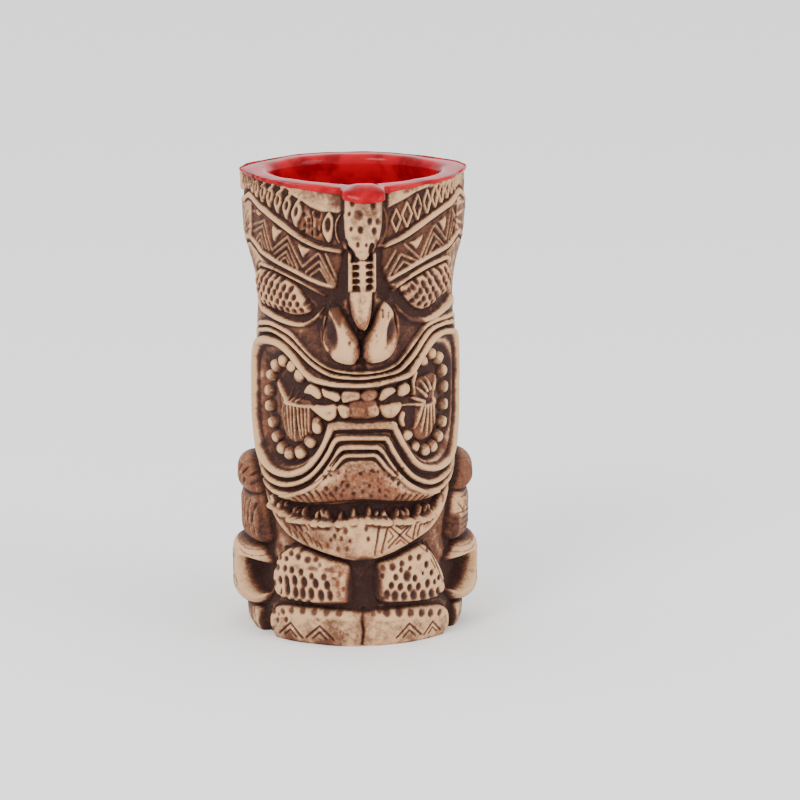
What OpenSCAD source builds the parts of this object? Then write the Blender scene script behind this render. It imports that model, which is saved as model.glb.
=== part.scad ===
// Tiki mug: a slip-cast ceramic cup with a carved face, arms, knees and feet.
// Origin at the middle of the foot, front toward -Y, +Z up, millimetres.

/* [Cup] */
// Height from the foot to the rim
mug_h = 165; // [160:1:172]
// Wall thickness of the casting
wall_t = 4.6; // [3.5:0.1:5.5]
// Thickness of the bottom under the drink
floor_t = 8; // [6:0.5:11]
// How far the two rim corners stand out
corner_out = 4; // [2:0.5:6]
// How far the front of the rim is drawn in
front_in = 4.5; // [3:0.5:6]

/* [Glaze] */
// Thickness of the coloured glaze inside the cup
glaze_t = 0.6; // [0.4:0.1:1.2]
// How far the glaze runs down outside the rim
glaze_drop = 3; // [2:0.5:4.5]

/* [Mouth] */
// Height of the inner lip ridge above the wall
lip_h = 2.2; // [1.2:0.1:3]
// Width of the inner lip ridge
lip_w = 2.8; // [2:0.1:3.2]
// Height of a tooth above the wall
tooth_h = 2.0; // [1:0.1:2.8]
// Height of the muzzle under the mouth
muzzle_h = 3.6; // [2:0.2:5]
// Height of the lower jaw
jaw_h = 5; // [3:0.2:6.5]

/* [Face] */
// How far the nose stands out
nose_out = 9; // [6:0.5:12]
// How far the eyes stand out
eye_h = 3; // [1.5:0.1:4]
// Height of the brow cords
cord_h = 1.9; // [1:0.1:2.6]
// Height of the carved zigzag lines
zigzag_h = 1.1; // [0.6:0.1:1.8]
// How far the crest stands out at its top
crest_out = 8.5; // [5:0.5:11]

/* [Body] */
// How far the knees stand out
knee_h = 7; // [4:0.5:9]
// How far the hands stand out at the hips
hand_h = 8; // [5:0.5:10]
// How far the upper arms stand out
arm_h = 5; // [3:0.5:7]
// How far the feet stand out
foot_h = 4; // [2:0.5:6]

/* [Hidden] */
// Wall radius at which distances along the wall are measured
unroll_r = 37;
// Facets round the cup
facets = 40;
// How deep raised pieces start inside the wall line, so that no gap is left
seat = 0.05;
// Angle of the rim corners and of the drawn-in front, from the front
corner_at = 103;
corner_spread = 17;
front_at = 30;
front_spread = 30;
// Top of the ceramic under the glaze
clay_top = mug_h - glaze_t;
// Height of the body of the cup against its design height
design_h = 165;

// Outer radius of the round part of the cup by height
wall_profile = [
    [0, 34], [3, 35.4], [14, 36], [46, 36], [58, 35.6], [70, 35], [112, 35],
    [120, 34.6], [126, 34.8], [132, 35.2], [140, 36], [150, 36.6], [165, 37]
];
// Share of the rim's shape that the wall has by height
flare_profile = [
    [0, 0], [120, 0], [126, 0.15], [132, 0.45], [138, 0.8], [144, 1], [165, 1]
];
// Heights of the rings of the outer wall and of the inner wall
outer_levels = [0, 3, 14, 30, 46, 58, 70, 86, 102, 112, 120, 126, 132, 138, 144, 154];
inner_levels = [12, 24, 60, 110, 128, 144, 158];

// Angle in degrees of a distance a along the wall
function ang(a) = a / unroll_r * 180 / PI;
function bump(x) = exp(-x * x);
// Outer radius of the cup at distance a along the wall and height z
function wall_r(a, z) =
    let (t = abs(ang(a)), share = lookup(z, flare_profile))
    lookup(z, wall_profile)
    + share * (corner_out * bump((t - corner_at) / corner_spread)
        - front_in * bump((t - front_at) / front_spread));
// Point on a circle of radius r
function at(a, z, r) = [r * sin(ang(a)), -r * cos(ang(a)), z];
// Point that stands h above the wall
function on_wall(a, z, h) = at(a, z, wall_r(a, z) + h);
function flip(path) = [for (p = path) [-p[0], p[1]]];
function reversed(path) = [for (i = [len(path) - 1 : -1 : 0]) path[i]];
// Twice the area inside an outline, negative if it runs clockwise
function twice_area(path, i = 0) =
    i == len(path) ? 0
    : let (p = path[i], q = path[(i + 1) % len(path)])
        p[0] * q[1] - q[0] * p[1] + twice_area(path, i + 1);
function anticlockwise(path) = twice_area(path) < 0 ? reversed(path) : path;
function turn_of(i) = i * 360 / facets;
function along_of(i) = turn_of(i) / 180 * PI * unroll_r;
function signed_along(i) = i * 2 > facets ? along_of(i) - 2 * PI * unroll_r : along_of(i);

// Two triangles for each cell between ring i and ring j of n points
function band(i, j, n) = [
    for (k = [0 : n - 1])
        for (tri = [
            [i * n + k, j * n + (k + 1) % n, i * n + (k + 1) % n],
            [i * n + k, j * n + k, j * n + (k + 1) % n]
        ]) tri
];

// Closed solid through rings of equal length, with flat ends
module lofted(rings) {
    n = len(rings[0]);
    m = len(rings);
    points = [for (ring = rings) for (p = ring) p];
    first_end = [for (k = [0 : n - 1]) k];
    last_end = [for (k = [n - 1 : -1 : 0]) (m - 1) * n + k];
    sides = [for (i = [0 : m - 2]) for (tri = band(i, i + 1, n)) tri];
    polyhedron(points = points, faces = concat([first_end, last_end], sides), convexity = 10);
}

// Closed solid through rings that meet again at the start
module looped(rings) {
    n = len(rings[0]);
    m = len(rings);
    points = [for (ring = rings) for (p = ring) p];
    sides = [for (i = [0 : m - 1]) for (tri = band(i, (i + 1) % m, n)) tri];
    polyhedron(points = points, faces = sides, convexity = 10);
}

// Direction across a path at point i, in the unrolled wall
function across(path, i, closed) =
    let (
        n = len(path),
        before = closed ? path[(i + n - 1) % n] : path[max(i - 1, 0)],
        after = closed ? path[(i + 1) % n] : path[min(i + 1, n - 1)],
        d = after - before
    )
    [-d[1], d[0]] / norm(d);

// Rounded section of a ridge of width w and height h, as offset and height
function ridge_section(w, h) = [
    [-w / 2, -seat], [w / 2, -seat], [w * 0.42, h * 0.62], [w * 0.18, h], [-w * 0.18, h],
    [-w * 0.42, h * 0.62]
];

// One ring of a ridge; share narrows and lowers it toward an end
function ridge_ring(path, i, w, h, share, closed) =
    let (side = across(path, i, closed))
    [
        for (s = ridge_section(w * share, h * share))
            let (q = path[i] + side * s[0])
            on_wall(q[0], q[1], s[1])
    ];

// A ridge along an open path, tapered over its two ends
module ridge(path, w, h, taper = 0.45) {
    last = len(path) - 1;
    lofted([
        for (i = [0 : last])
            ridge_ring(path, i, w, h, (i == 0 || i == last) ? taper : 1, false)
    ]);
}

// A ridge along a closed path
module ridge_loop(path, w, h) {
    looped([for (i = [0 : len(path) - 1]) ridge_ring(path, i, w, h, 1, true)]);
}

// Rounded mass on the wall inside an outline, full at its middle point.
// swell is the height at shares 0 to 1 from the middle to the outline.
module mass(drawn, middle, swell, h) {
    outline = anticlockwise(drawn);
    n = len(outline);
    rows = len(swell) - 1;
    front = [
        for (k = [1 : rows])
            for (p = outline)
                let (q = middle + (p - middle) * k / rows)
                on_wall(q[0], q[1], h * swell[k])
    ];
    back = [
        for (k = [1 : rows])
            for (p = outline)
                let (q = middle + (p - middle) * k / rows)
                on_wall(q[0], q[1], -seat)
    ];
    top = on_wall(middle[0], middle[1], h * swell[0]);
    bottom = on_wall(middle[0], middle[1], -seat);
    points = concat(front, back, [top, bottom]);
    top_i = 2 * n * rows;
    faces = concat(
        [for (k = [0 : n - 1]) [top_i, (k + 1) % n, k]],
        [for (k = [0 : n - 1]) [top_i + 1, n * rows + k, n * rows + (k + 1) % n]],
        [for (r = [0 : rows - 2]) for (tri = band(r + 1, r, n)) tri],
        [for (r = [0 : rows - 2]) for (tri = band(rows + r, rows + r + 1, n)) tri],
        band(2 * rows - 1, rows - 1, n)
    );
    polyhedron(points = points, faces = faces, convexity = 6);
}

// Places its child on the wall, with the child's +Z pointing straight out
module place(a, z, h = 0) {
    translate(on_wall(a, z, h))
        rotate([90, 0, ang(a)])
            children();
}

// A round-ended tooth or bead standing on the wall
module bead(a, z, r, h) {
    place(a, z, -seat)
        rotate_extrude()
            polygon([[0, 0], [r, 0], [r, h * 0.55], [r * 0.86, h * 0.85], [r * 0.5, h], [0, h]]);
}

// ---- Cup ----

function outer_ring(z) = [
    for (i = [0 : facets - 1])
        let (a = signed_along(i))
        at(a, z, wall_r(a, z))
];
function inner_gap(z) = z > 155 ? wall_t + 1.4 : wall_t;
function cavity_ring(z, grow) = [
    for (i = [0 : facets - 1])
        let (a = signed_along(i))
        at(a, z, wall_r(a, max(z, 60)) - inner_gap(z) - grow)
];
function rim_ring(z, inset) = [
    for (i = [0 : facets - 1])
        let (a = signed_along(i))
        at(a, z, wall_r(a, z) - inset)
];

module cup_wall() {
    color([0.85, 0.75, 0.63])
        lofted(concat(
            [for (z = outer_levels) outer_ring(z)],
            [outer_ring(clay_top - glaze_drop)],
            [rim_ring(clay_top - glaze_drop, glaze_t)],
            [rim_ring(clay_top - 1, glaze_t)],
            [rim_ring(clay_top, glaze_t + 1.2)],
            [rim_ring(clay_top, inner_gap(design_h) - 1)],
            [for (i = [len(inner_levels) - 1 : -1 : 0]) cavity_ring(inner_levels[i], 0)],
            [cavity_ring(floor_t, 3)]
        ));
}

module glaze_lining() {
    color([0.75, 0.08, 0.12])
        lofted(concat(
            [cavity_ring(floor_t, 3)],
            [for (z = inner_levels) cavity_ring(z, 0)],
            [rim_ring(clay_top, inner_gap(design_h) - 1)],
            [rim_ring(clay_top, glaze_t + 1.2)],
            [rim_ring(clay_top - 1, glaze_t)],
            [rim_ring(clay_top - glaze_drop, glaze_t)],
            [rim_ring(clay_top - glaze_drop, 0)],
            [rim_ring(clay_top - 1, 0)],
            [rim_ring(mug_h, 1.2)],
            [rim_ring(mug_h, inner_gap(design_h) - 1)],
            [
                for (i = [len(inner_levels) - 1 : -1 : 0])
                    cavity_ring(inner_levels[i], glaze_t)
            ],
            [cavity_ring(floor_t + glaze_t, 3 + glaze_t)]
        ));
}

// ---- Brow ----

cord_left_path = [
    [-115, 146.6], [-108, 147], [-98, 147.6], [-88, 149], [-76, 151.5], [-66, 153.5], [-56, 155], [-47, 155.3], [-40, 154], [-33, 151.5],
    [-27, 148.5], [-21, 145.4], [-15, 143.5], [-7.6, 142.6]
];
cord_right_path = [
    [7.6, 144.4], [14, 147], [21, 150.2], [28, 153], [35, 155.2], [42, 156.2], [50, 156.6],
    [58, 155.8], [66, 154], [76, 151.5], [88, 149], [98, 147.6], [108, 147], [115, 146.6]
];
zigzag_left_path = [
    [-8.6, 130.6], [-15, 140.6], [-21.8, 136.4], [-28.2, 145.6], [-37, 141], [-42.4, 150],
    [-51, 142], [-58, 150.5], [-66, 142], [-74, 148.5], [-82, 139.5], [-90, 145.6],
    [-98, 138], [-106, 144.4], [-114, 137.4]
];
zigzag_right_path = [
    [8, 133.4], [13.6, 142.4], [22, 139.4], [28.6, 149], [36.4, 143.6], [41, 152.4], [49, 144],
    [57, 151], [66, 142.5], [74, 148.5], [82, 139.5], [90, 145.6], [98, 138], [106, 144.4],
    [114, 137.4]
];
rail_left_path = [
    [-115, 134.4], [-102, 134.8], [-88, 136], [-70, 137.6], [-56, 139.4], [-46, 138.8], [-37, 137.2], [-28, 135], [-19, 131.8],
    [-9, 128.8]
];
rail_right_path = [
    [8, 131.4], [14, 134.8], [21, 137.4], [29, 139.8], [37, 141], [48, 141.2], [60, 139.6],
    [72, 137.6], [88, 136], [102, 134.8], [115, 134.4]
];

// Chevrons nested under the zigzag's peaks: peak, half width and height
chevrons_left = [
    [-15, 137.4, 4.2, 5], [-28.4, 142.4, 5, 4.2], [-43, 146, 4.6, 5], [-58, 146.6, 4.4, 4.6],
    [-74, 144.6, 4.4, 4.4], [-90, 142.4, 4, 4], [-106, 141.2, 4, 3.8]
];
chevrons_right = [
    [14, 139, 3.4, 2.8], [29, 145.4, 4.6, 3.4], [41, 148.2, 3, 4.6], [57, 147, 4.4, 4.4],
    [74, 144.6, 4.4, 4.4], [90, 142.4, 4, 4], [106, 141.2, 4, 3.8]
];

module brow_cord_left() {
    color([0.86, 0.76, 0.64])
        ridge(cord_left_path, 2.3, cord_h);
}

module brow_cord_right() {
    color([0.86, 0.76, 0.64])
        ridge(cord_right_path, 2.3, cord_h);
}

module zigzag(path, chevrons) {
    ridge(path, 1.6, zigzag_h);
    for (c = chevrons)
        ridge(
            [[c[0] - c[2], c[1] - c[3]], [c[0], c[1]], [c[0] + c[2], c[1] - c[3]]],
            1, zigzag_h * 0.8, 0.7
        );
}

module brow_zigzag_left() {
    color([0.82, 0.71, 0.58])
        zigzag(zigzag_left_path, chevrons_left);
}

module brow_zigzag_right() {
    color([0.82, 0.71, 0.58])
        zigzag(zigzag_right_path, chevrons_right);
}

module brow_rail_left() {
    color([0.84, 0.73, 0.6])
        ridge(rail_left_path, 1.8, zigzag_h);
}

module brow_rail_right() {
    color([0.84, 0.73, 0.6])
        ridge(rail_right_path, 1.8, zigzag_h);
}

// An upright lozenge ring of the row under the rim
module lozenge(a, z, w, h) {
    place(a, z, -2 * seat)
        linear_extrude(height = lozenge_h)
            difference() {
                polygon([[-w / 2, 0], [0, -h / 2], [w / 2, 0], [0, h / 2]]);
                polygon([[-w / 5, 0], [0, -h / 4], [w / 5, 0], [0, h / 4]]);
            }
}

lozenge_w = 3.4;
lozenge_h = 1.1;
lozenges_left = [
    [-12, 151.4, 7], [-16.6, 152.4, 6], [-21, 154, 6.4], [-25.4, 156, 6.6], [-29.6, 157.2, 6.6],
    [-34, 158.2, 6], [-38.4, 159.2, 5.4], [-43, 159.6, 5], [-47.6, 160, 4.6], [-52.4, 160, 4.2]
];
lozenges_right = [
    [11.8, 153, 7], [16.4, 155, 7], [21, 156.6, 7], [25.4, 158, 6.4], [29.6, 158.8, 5.4],
    [33.8, 159.2, 4.6], [38.2, 159.8, 4.2], [42.8, 160, 4], [47.4, 160, 4], [52, 159.8, 4]
];

module lozenge_row(spots) {
    for (s = spots)
        lozenge(s[0], s[1], lozenge_w, s[2]);
}

module brow_lozenges_left() {
    color([0.84, 0.74, 0.61])
        lozenge_row(lozenges_left);
}

module brow_lozenges_right() {
    color([0.84, 0.74, 0.61])
        lozenge_row(lozenges_right);
}

// ---- Crest and ladder ----

// Height, half width and depth of the crest, from its lower point to its top
crest_levels = [
    [140.4, 1.6, 0.5], [142.4, 3.4, 0.62], [145, 4.8, 0.72], [149, 5.6, 0.82], [154, 6, 0.92],
    [159, 6.3, 0.98], [162.6, 6.6, 1]
];
cap_levels = [[162.6, 6.6, 1], [163.4, 7.2, 1.06], [164.4, 6.8, 1.02], [165, 5.4, 0.86]];

// Upright rounded rib on the wall, from levels of height, half width and share of depth
module rib(levels, depth) {
    lofted([
        for (v = levels)
            [
                for (q = [
                    [1, -seat], [0, -seat], [-1, -seat], [-1, v[2] * depth * 0.62],
                    [-0.82, v[2] * depth * 0.86], [-0.4, v[2] * depth * 0.98],
                    [0, v[2] * depth], [0.4, v[2] * depth * 0.98],
                    [0.82, v[2] * depth * 0.86], [1, v[2] * depth * 0.62]
                ])
                    on_wall(q[0] * v[1], v[0], q[1])
            ]
    ]);
}

module crest() {
    color([0.85, 0.75, 0.63])
        rib(crest_levels, crest_out);
}

// Glaze that pools over the top of the crest
module glaze_cap() {
    color([0.75, 0.08, 0.12])
        rib(cap_levels, crest_out);
}

module ladder() {
    color([0.85, 0.75, 0.63]) {
        ridge([[-4.4, 141.8], [-4.7, 138], [-4.6, 134], [-4.2, 128.6]], 1.7, 4.4, 0.9);
        ridge([[4.2, 141.8], [4.5, 138], [4.4, 134], [4, 128.6]], 1.7, 4.4, 0.9);
        for (z = [139, 136.2, 133.4, 130.6])
            ridge([[-4.2, z - 0.3], [0, z + 0.3], [4, z - 0.3]], 1.5, 3.4, 0.9);
    }
}

// ---- Eyes ----

eye_left_outline = [
    [-18.8, 122.4], [-21, 127.6], [-26, 130.6], [-32, 132], [-38, 132.8], [-43, 132.6],
    [-47, 130.4], [-48.6, 126.4], [-47, 122.8], [-42, 121.4], [-36, 120.4], [-30, 119.2],
    [-25, 118.8], [-21, 119.8]
];
eye_right_outline = [
    [14, 127.6], [17.6, 123.4], [22, 121], [27, 121.2], [32, 122.8], [37, 124.2], [39.8, 127],
    [40, 131], [37.6, 134.6], [33, 135.4], [28, 134.8], [22, 133], [17, 130.6]
];
lid_left_path = [
    [-48.6, 131.4], [-45, 134], [-40, 134.4], [-34, 133.7], [-28, 132.5], [-22, 130.5],
    [-17, 128.2], [-13.6, 126.6]
];
lid_right_path = [
    [10.6, 128.4], [15, 131.3], [20, 134], [25, 135.6], [30, 136.7], [35, 137.1], [38.6, 136.2],
    [40.6, 133]
];
cheek_left_path = [
    [-57, 117.5], [-50, 119], [-44, 119], [-38, 118.2], [-32, 116.6], [-26, 115.3],
    [-21.5, 115.8], [-17.6, 118], [-14.4, 121.6]
];
cheek_right_path = [
    [12.2, 123.4], [15, 119.6], [19, 117.2], [24, 116.5], [30, 117.7], [36, 119.3],
    [42, 119.5], [48, 118], [55, 116]
];

// A bulging eye with a row of round pits along its lower edge
module eye_mass(outline, middle, pits) {
    difference() {
        mass(outline, middle, [1, 0.95, 0.8, 0.45], eye_h);
        for (p = pits)
            place(p[0], p[1], eye_h * 0.35)
                cylinder(r = 0.95, h = eye_h);
    }
}

module eye_left() {
    color([0.66, 0.49, 0.36])
        eye_mass(
            eye_left_outline, [-33, 126.4],
            [
                [-42.2, 124], [-38.6, 123.6], [-35, 123.3], [-31.2, 122.8], [-27.8, 122],
                [-24.4, 121.6]
            ]
        );
}

module eye_right() {
    color([0.66, 0.49, 0.36])
        eye_mass(
            eye_right_outline, [28, 128.6],
            [[19.8, 124.8], [23.4, 123.2], [26.8, 123.8], [30, 125.2], [33.4, 126.2]]
        );
}

module eyelid_left() {
    color([0.83, 0.71, 0.58])
        ridge(lid_left_path, 1.4, 2.6);
}

module eyelid_right() {
    color([0.83, 0.71, 0.58])
        ridge(lid_right_path, 1.4, 2.6);
}

module cheek_left() {
    color([0.85, 0.74, 0.61])
        ridge(cheek_left_path, 2.6, 1.8);
}

module cheek_right() {
    color([0.85, 0.74, 0.61])
        ridge(cheek_right_path, 2.6, 1.8);
}

// ---- Nose ----

bridge_outline = [
    [-5.2, 126.6], [-5, 121], [-4, 117], [-2.4, 114.8], [0, 113.8], [2.2, 115], [3.4, 118],
    [4.2, 122], [4.4, 127], [2.4, 128], [0, 128.2], [-3, 128]
];
nostril_outline = [
    [-1.6, 104.4], [-1.8, 108.6], [-3.4, 112.4], [-6, 116], [-8.6, 120], [-11, 122],
    [-13.4, 119.4], [-14.6, 114.6], [-14.4, 109.6], [-12.4, 105.6], [-9.6, 103], [-5.6, 101.8],
    [-3, 102.4]
];

module nose_bridge() {
    color([0.82, 0.7, 0.56])
        mass(bridge_outline, [-0.3, 120.4], [1, 0.95, 0.8, 0.5], nose_out * 0.72);
}

// One lobe of the nose with the hollow of its nostril
module nose_lobe(outline, side) {
    difference() {
        mass(outline, [side * 7, 108.6], [1, 0.97, 0.86, 0.5], nose_out);
        place(side * 11.4, 113, nose_out * 0.4)
            rotate([0, 0, side * 12])
                linear_extrude(height = nose_out)
                    polygon([[-1.2, -4], [1.2, -4], [1.9, 0], [1, 4.4], [-1, 4.4], [-1.7, 0]]);
    }
}

module nose_lobe_left() {
    color([0.84, 0.74, 0.6])
        nose_lobe(nostril_outline, -1);
}

module nose_lobe_right() {
    color([0.84, 0.74, 0.6])
        nose_lobe([for (i = [len(nostril_outline) - 1 : -1 : 0])
            [-nostril_outline[i][0] - 1.6, nostril_outline[i][1] + 0.6]], 0.86);
}

// ---- Mouth ----

lip_inner_path = [
    [0, 95.1], [-8, 95.3], [-14, 96.6], [-19, 99.2], [-23, 102.8], [-28, 106.2], [-35, 107.7],
    [-42, 106.4], [-47.4, 102], [-50.4, 95], [-51, 87], [-50, 79], [-47.4, 71.6], [-43, 65.4],
    [-37.6, 61.9], [-31, 60.7], [-24.6, 61.6], [-19.2, 64.4], [-15.6, 68.6], [-13.2, 74],
    [-11.6, 79.4], [-6, 80.4], [0, 80.2], [6, 80.2], [10.6, 79.4], [12.8, 74.4], [15.6, 69.4],
    [19.4, 65.4], [24.4, 62.8], [30, 62.4], [36, 64.2], [41, 68.4], [44.6, 75], [46.2, 83],
    [46.2, 91], [44.8, 98.6], [41.4, 104.8], [36, 108.8], [29.6, 109.8], [24.6, 107.6],
    [20.6, 103.6], [17.4, 99.6], [12.6, 96.8], [6.4, 95.4]
];
lip_middle_path = [
    [0, 98], [-8, 98.6], [-14, 100.4], [-19, 103.4], [-24, 107.2], [-29, 110.2], [-35.6, 111.6],
    [-43, 110], [-49.6, 105.6], [-54, 97], [-55, 87], [-53.8, 77], [-50.4, 67.4], [-44.6, 60.4],
    [-38, 58.2], [-31, 57], [-24, 57.8], [-18, 61], [-13.8, 66], [-10.8, 71.6], [-8.4, 75.8],
    [-4, 76.2], [0, 76.2], [4, 76.2], [8.4, 75.6], [10.8, 71.4], [14, 66.4], [18, 61.6],
    [23.4, 58.6], [29.6, 58.2], [36.6, 59.8], [43, 64], [47.8, 72], [50, 82], [50, 92],
    [48.2, 101.6], [43.4, 109.4], [36.6, 113], [29, 113], [22.6, 109.8], [18, 104.8],
    [13.6, 101], [8, 99]
];
lip_outer_upper_path = [
    [-58, 104], [-51, 110.4], [-43.6, 113.6], [-36, 114.4], [-28, 112.6], [-21, 108.6],
    [-15, 104.2], [-9.6, 101.4], [0, 100.4], [9, 101.6], [14.6, 105], [19, 109.8],
    [24.6, 114], [31, 116], [38, 115.4], [46, 111.6], [53, 104]
];
lip_outer_lower_path = [
    [-56, 66], [-51, 59.6], [-45, 55.6], [-38, 53.6], [-31, 53.2], [-24, 54.4], [-17.6, 57.8],
    [-12.6, 62.6], [-8.8, 68], [-5.8, 72.2], [0, 72.6], [5.8, 72.4], [9, 67.8], [12.8, 62.6],
    [18, 57.6], [24, 54.8], [31, 54.4], [38, 55.6], [45, 58.6], [51, 62.6], [56, 68]
];
lip_small_path = [[-8.8, 64.4], [-6.4, 67.8], [-4.4, 69.2], [4.4, 69.2], [6.6, 67.2], [9, 64]];

module lip_inner() {
    color([0.86, 0.76, 0.63])
        ridge_loop(lip_inner_path, lip_w, lip_h);
}

module lip_middle() {
    color([0.85, 0.75, 0.62])
        ridge_loop(lip_middle_path, 1.7, lip_h * 0.8);
}

module lip_outer_upper() {
    color([0.84, 0.74, 0.61])
        ridge(lip_outer_upper_path, 1.4, lip_h * 0.7);
}

module lip_outer_lower() {
    color([0.84, 0.74, 0.61]) {
        ridge(lip_outer_lower_path, 1.6, lip_h * 0.7);
        ridge(lip_small_path, 1.2, lip_h * 0.6);
    }
}

upper_teeth = [[-18.6, 92], [-12, 91.2], [-5, 91], [1.8, 91.2], [8.8, 91.4], [15.6, 92.4]];
lower_teeth = [[-13.2, 84.2], [-6.8, 84.8], [-0.4, 84.6], [6, 84.6], [11.4, 84.4]];
ring_left = [
    [-23.8, 96.8], [-27.4, 99.8], [-31.8, 101.6], [-36.2, 99.4], [-39, 95], [-40.4, 89.2],
    [-40.2, 83.6], [-38.6, 78.2], [-35.8, 73.4], [-32.6, 69.6], [-28.6, 68], [-24, 68.8],
    [-19.6, 73], [-17, 79.2]
];
ring_right = [
    [19.4, 93.4], [20.8, 97.4], [24.4, 101.4], [28.6, 104], [33, 101.8], [36.2, 96.4],
    [37.2, 89.8], [37.2, 83.6], [35.8, 77.4], [33, 72.6], [29.4, 69.4], [24.6, 68.8],
    [20, 71.4], [16.8, 75.8], [14.8, 81]
];

module teeth_upper() {
    color([0.87, 0.78, 0.64])
        for (t = upper_teeth)
            bead(t[0], t[1], 2.3, tooth_h);
}

module teeth_lower() {
    color([0.87, 0.78, 0.64])
        for (t = lower_teeth)
            bead(t[0], t[1], 2.1, tooth_h * 0.9);
}

module teeth_ring_left() {
    color([0.87, 0.78, 0.64])
        for (t = ring_left)
            bead(t[0], t[1], 1.75, tooth_h);
}

module teeth_ring_right() {
    color([0.87, 0.78, 0.64])
        for (t = ring_right)
            bead(t[0], t[1], 1.75, tooth_h);
}

// Folds at the back of the mouth that spread from one point; each starts clear of it
module fan(a, z, side, spokes) {
    for (s = spokes)
        ridge(
            [for (share = [0.32, 0.66, 1]) [a + side * s[0] * share, z + s[1] * share]],
            1.3, 1.5, 0.6
        );
}

module throat_left() {
    color([0.72, 0.57, 0.45])
        fan(-28.6, 86.2, 1, [[-5.6, 7], [4.4, 6], [9.6, 0.4], [-4.4, -9], [0.2, -11], [4.8, -9]]);
}

module throat_right() {
    color([0.72, 0.57, 0.45])
        fan(26, 86.4, -1, [[-5.2, 7.4], [4.4, 5.4], [9.6, 0.8], [-4.4, -9], [0.2, -11], [4.8, -9]]);
}

// ---- Muzzle and jaw ----

muzzle_outline = [
    [-33, 51.4], [-27, 52.4], [-21, 54.4], [-15.6, 58], [-11.4, 62.8], [-7.4, 66.2], [0, 66.8],
    [6.8, 66], [11.2, 62.6], [15.8, 57.6], [21, 54.4], [27, 52.8], [33, 52.6], [24, 50.6],
    [12, 51.6], [0, 53], [-12, 51.8], [-24, 50.4]
];
jaw_outline = [
    [-39, 50.6], [-33, 47.4], [-26, 46], [-17, 45.4], [-8, 45.6], [0, 46.4], [8, 46], [17, 45.6],
    [24, 46], [30, 48.6], [36, 52], [31.6, 46.4], [27, 41.6], [21.6, 37.8], [15, 35], [8, 32.6],
    [0, 31], [-8, 32.2], [-16, 34.2], [-24, 36.6], [-30, 39.6], [-35, 44.4]
];
jaw_teeth_spots = [
    [-31, 48.4], [-27.6, 47.6], [-23.4, 47.2], [-20.8, 47.4], [-16.6, 47.4], [-13, 47.6],
    [-8, 47.8], [-3.4, 48.4], [2.4, 48.6], [6.2, 48], [12.4, 47.6], [15.8, 47.4], [21.2, 47.6],
    [24.6, 48.4]
];

module muzzle() {
    color([0.76, 0.58, 0.44])
        mass(muzzle_outline, [0, 57], [1, 0.97, 0.86, 0.5], muzzle_h);
}

module jaw() {
    color([0.83, 0.7, 0.56])
        mass(jaw_outline, [-1, 41], [1, 0.97, 0.86, 0.45], jaw_h);
}

// Pointed teeth that stand up from the jaw into the slit
module jaw_teeth() {
    color([0.87, 0.78, 0.64])
        for (t = jaw_teeth_spots)
            ridge([[t[0] - 0.2, t[1] - 1.6], [t[0], t[1]], [t[0] + 0.2, t[1] + 1.8]], 1.5, 2.2, 0.5);
}

// ---- Arms ----

upper_arm_outline = [
    [-50, 58], [-44.6, 54], [-40.6, 48], [-38, 41], [-37, 35.6], [-44, 33.6], [-54, 33],
    [-64, 33.6], [-73, 36.6], [-77, 43], [-77, 51], [-72, 57], [-64, 60.4], [-56, 60.6]
];
hand_outline = [
    [-36.6, 24], [-37, 17.6], [-40, 12.6], [-46, 9.4], [-54, 8.4], [-63, 9.6], [-71, 13.4],
    [-75.6, 20], [-74.6, 27], [-68, 32], [-58, 33.4], [-48, 33], [-40.6, 30.4]
];
hollow_outline = [[-39.6, 20], [-44, 15.4], [-51, 14], [-57, 17], [-58, 22.6], [-53, 26.4],
    [-45, 26.6], [-40.4, 24]];

module upper_arm(outline, side) {
    mass(outline, [side * 57, 46.6], [1, 0.98, 0.88, 0.4], arm_h);
}

// Hand on the hip, with a deep hollow that opens to the front
module hand(outline, hollow, side) {
    difference() {
        mass(outline, [side * 57, 20.6], [1, 0.98, 0.9, 0.45], hand_h);
        lofted([
            for (h = [hand_h * 0.3, hand_h * 0.7, hand_h * 1.4])
                [for (p = anticlockwise(hollow)) on_wall(p[0], p[1], h)]
        ]);
    }
}

module upper_arm_left() {
    color([0.66, 0.48, 0.36])
        upper_arm(upper_arm_outline, -1);
}

module upper_arm_right() {
    color([0.66, 0.48, 0.36])
        upper_arm(flip(upper_arm_outline), 1);
}

module hand_left() {
    color([0.82, 0.7, 0.57])
        hand(hand_outline, hollow_outline, -1);
}

module hand_right() {
    color([0.82, 0.7, 0.57])
        hand(flip(hand_outline), flip(hollow_outline), 1);
}

// ---- Legs ----

knee_outline = [
    [-5, 29.6], [-3.6, 25], [-3.6, 19], [-5.4, 15.6], [-12, 14.8], [-20, 14.8], [-27, 14.8],
    [-31.6, 16.6], [-33, 21], [-32.4, 27], [-29.6, 32], [-24.6, 34.6], [-18, 33.8], [-11.6, 31.8]
];
knee_pits = [
    [-8.6, 18], [-13, 18.2], [-17.6, 18.4], [-22, 18.6], [-26.4, 18.8], [-10.8, 22.6],
    [-15.6, 23], [-20.4, 23.2], [-25.2, 23.6], [-13.6, 27.4], [-18.4, 28], [-23.2, 28.6]
];
foot_outline = [
    [-0.4, 12.6], [-0.4, 6], [-0.4, 0], [-9, 0], [-18, 0], [-26, 0], [-32.6, 0],
    [-36.4, 4], [-36.6, 8.6], [-33, 12], [-26, 13], [-17, 13.4], [-8, 13.4]
];
heel_outline = [
    [-44, 0], [-54, 0], [-64, 0], [-70, 3], [-70, 7.6], [-63, 10], [-54, 10], [-45, 9.6],
    [-42.4, 5]
];
heel_h = 3.4;

// A squared knee with rows of oval pits
module knee(outline, pits, side) {
    difference() {
        mass(outline, [side * 17, 24], [1, 1, 0.97, 0.88, 0.5], knee_h);
        for (p = pits)
            place(p[0], p[1], knee_h * 0.6)
                cylinder(r = 1.1, h = knee_h);
    }
}

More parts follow.
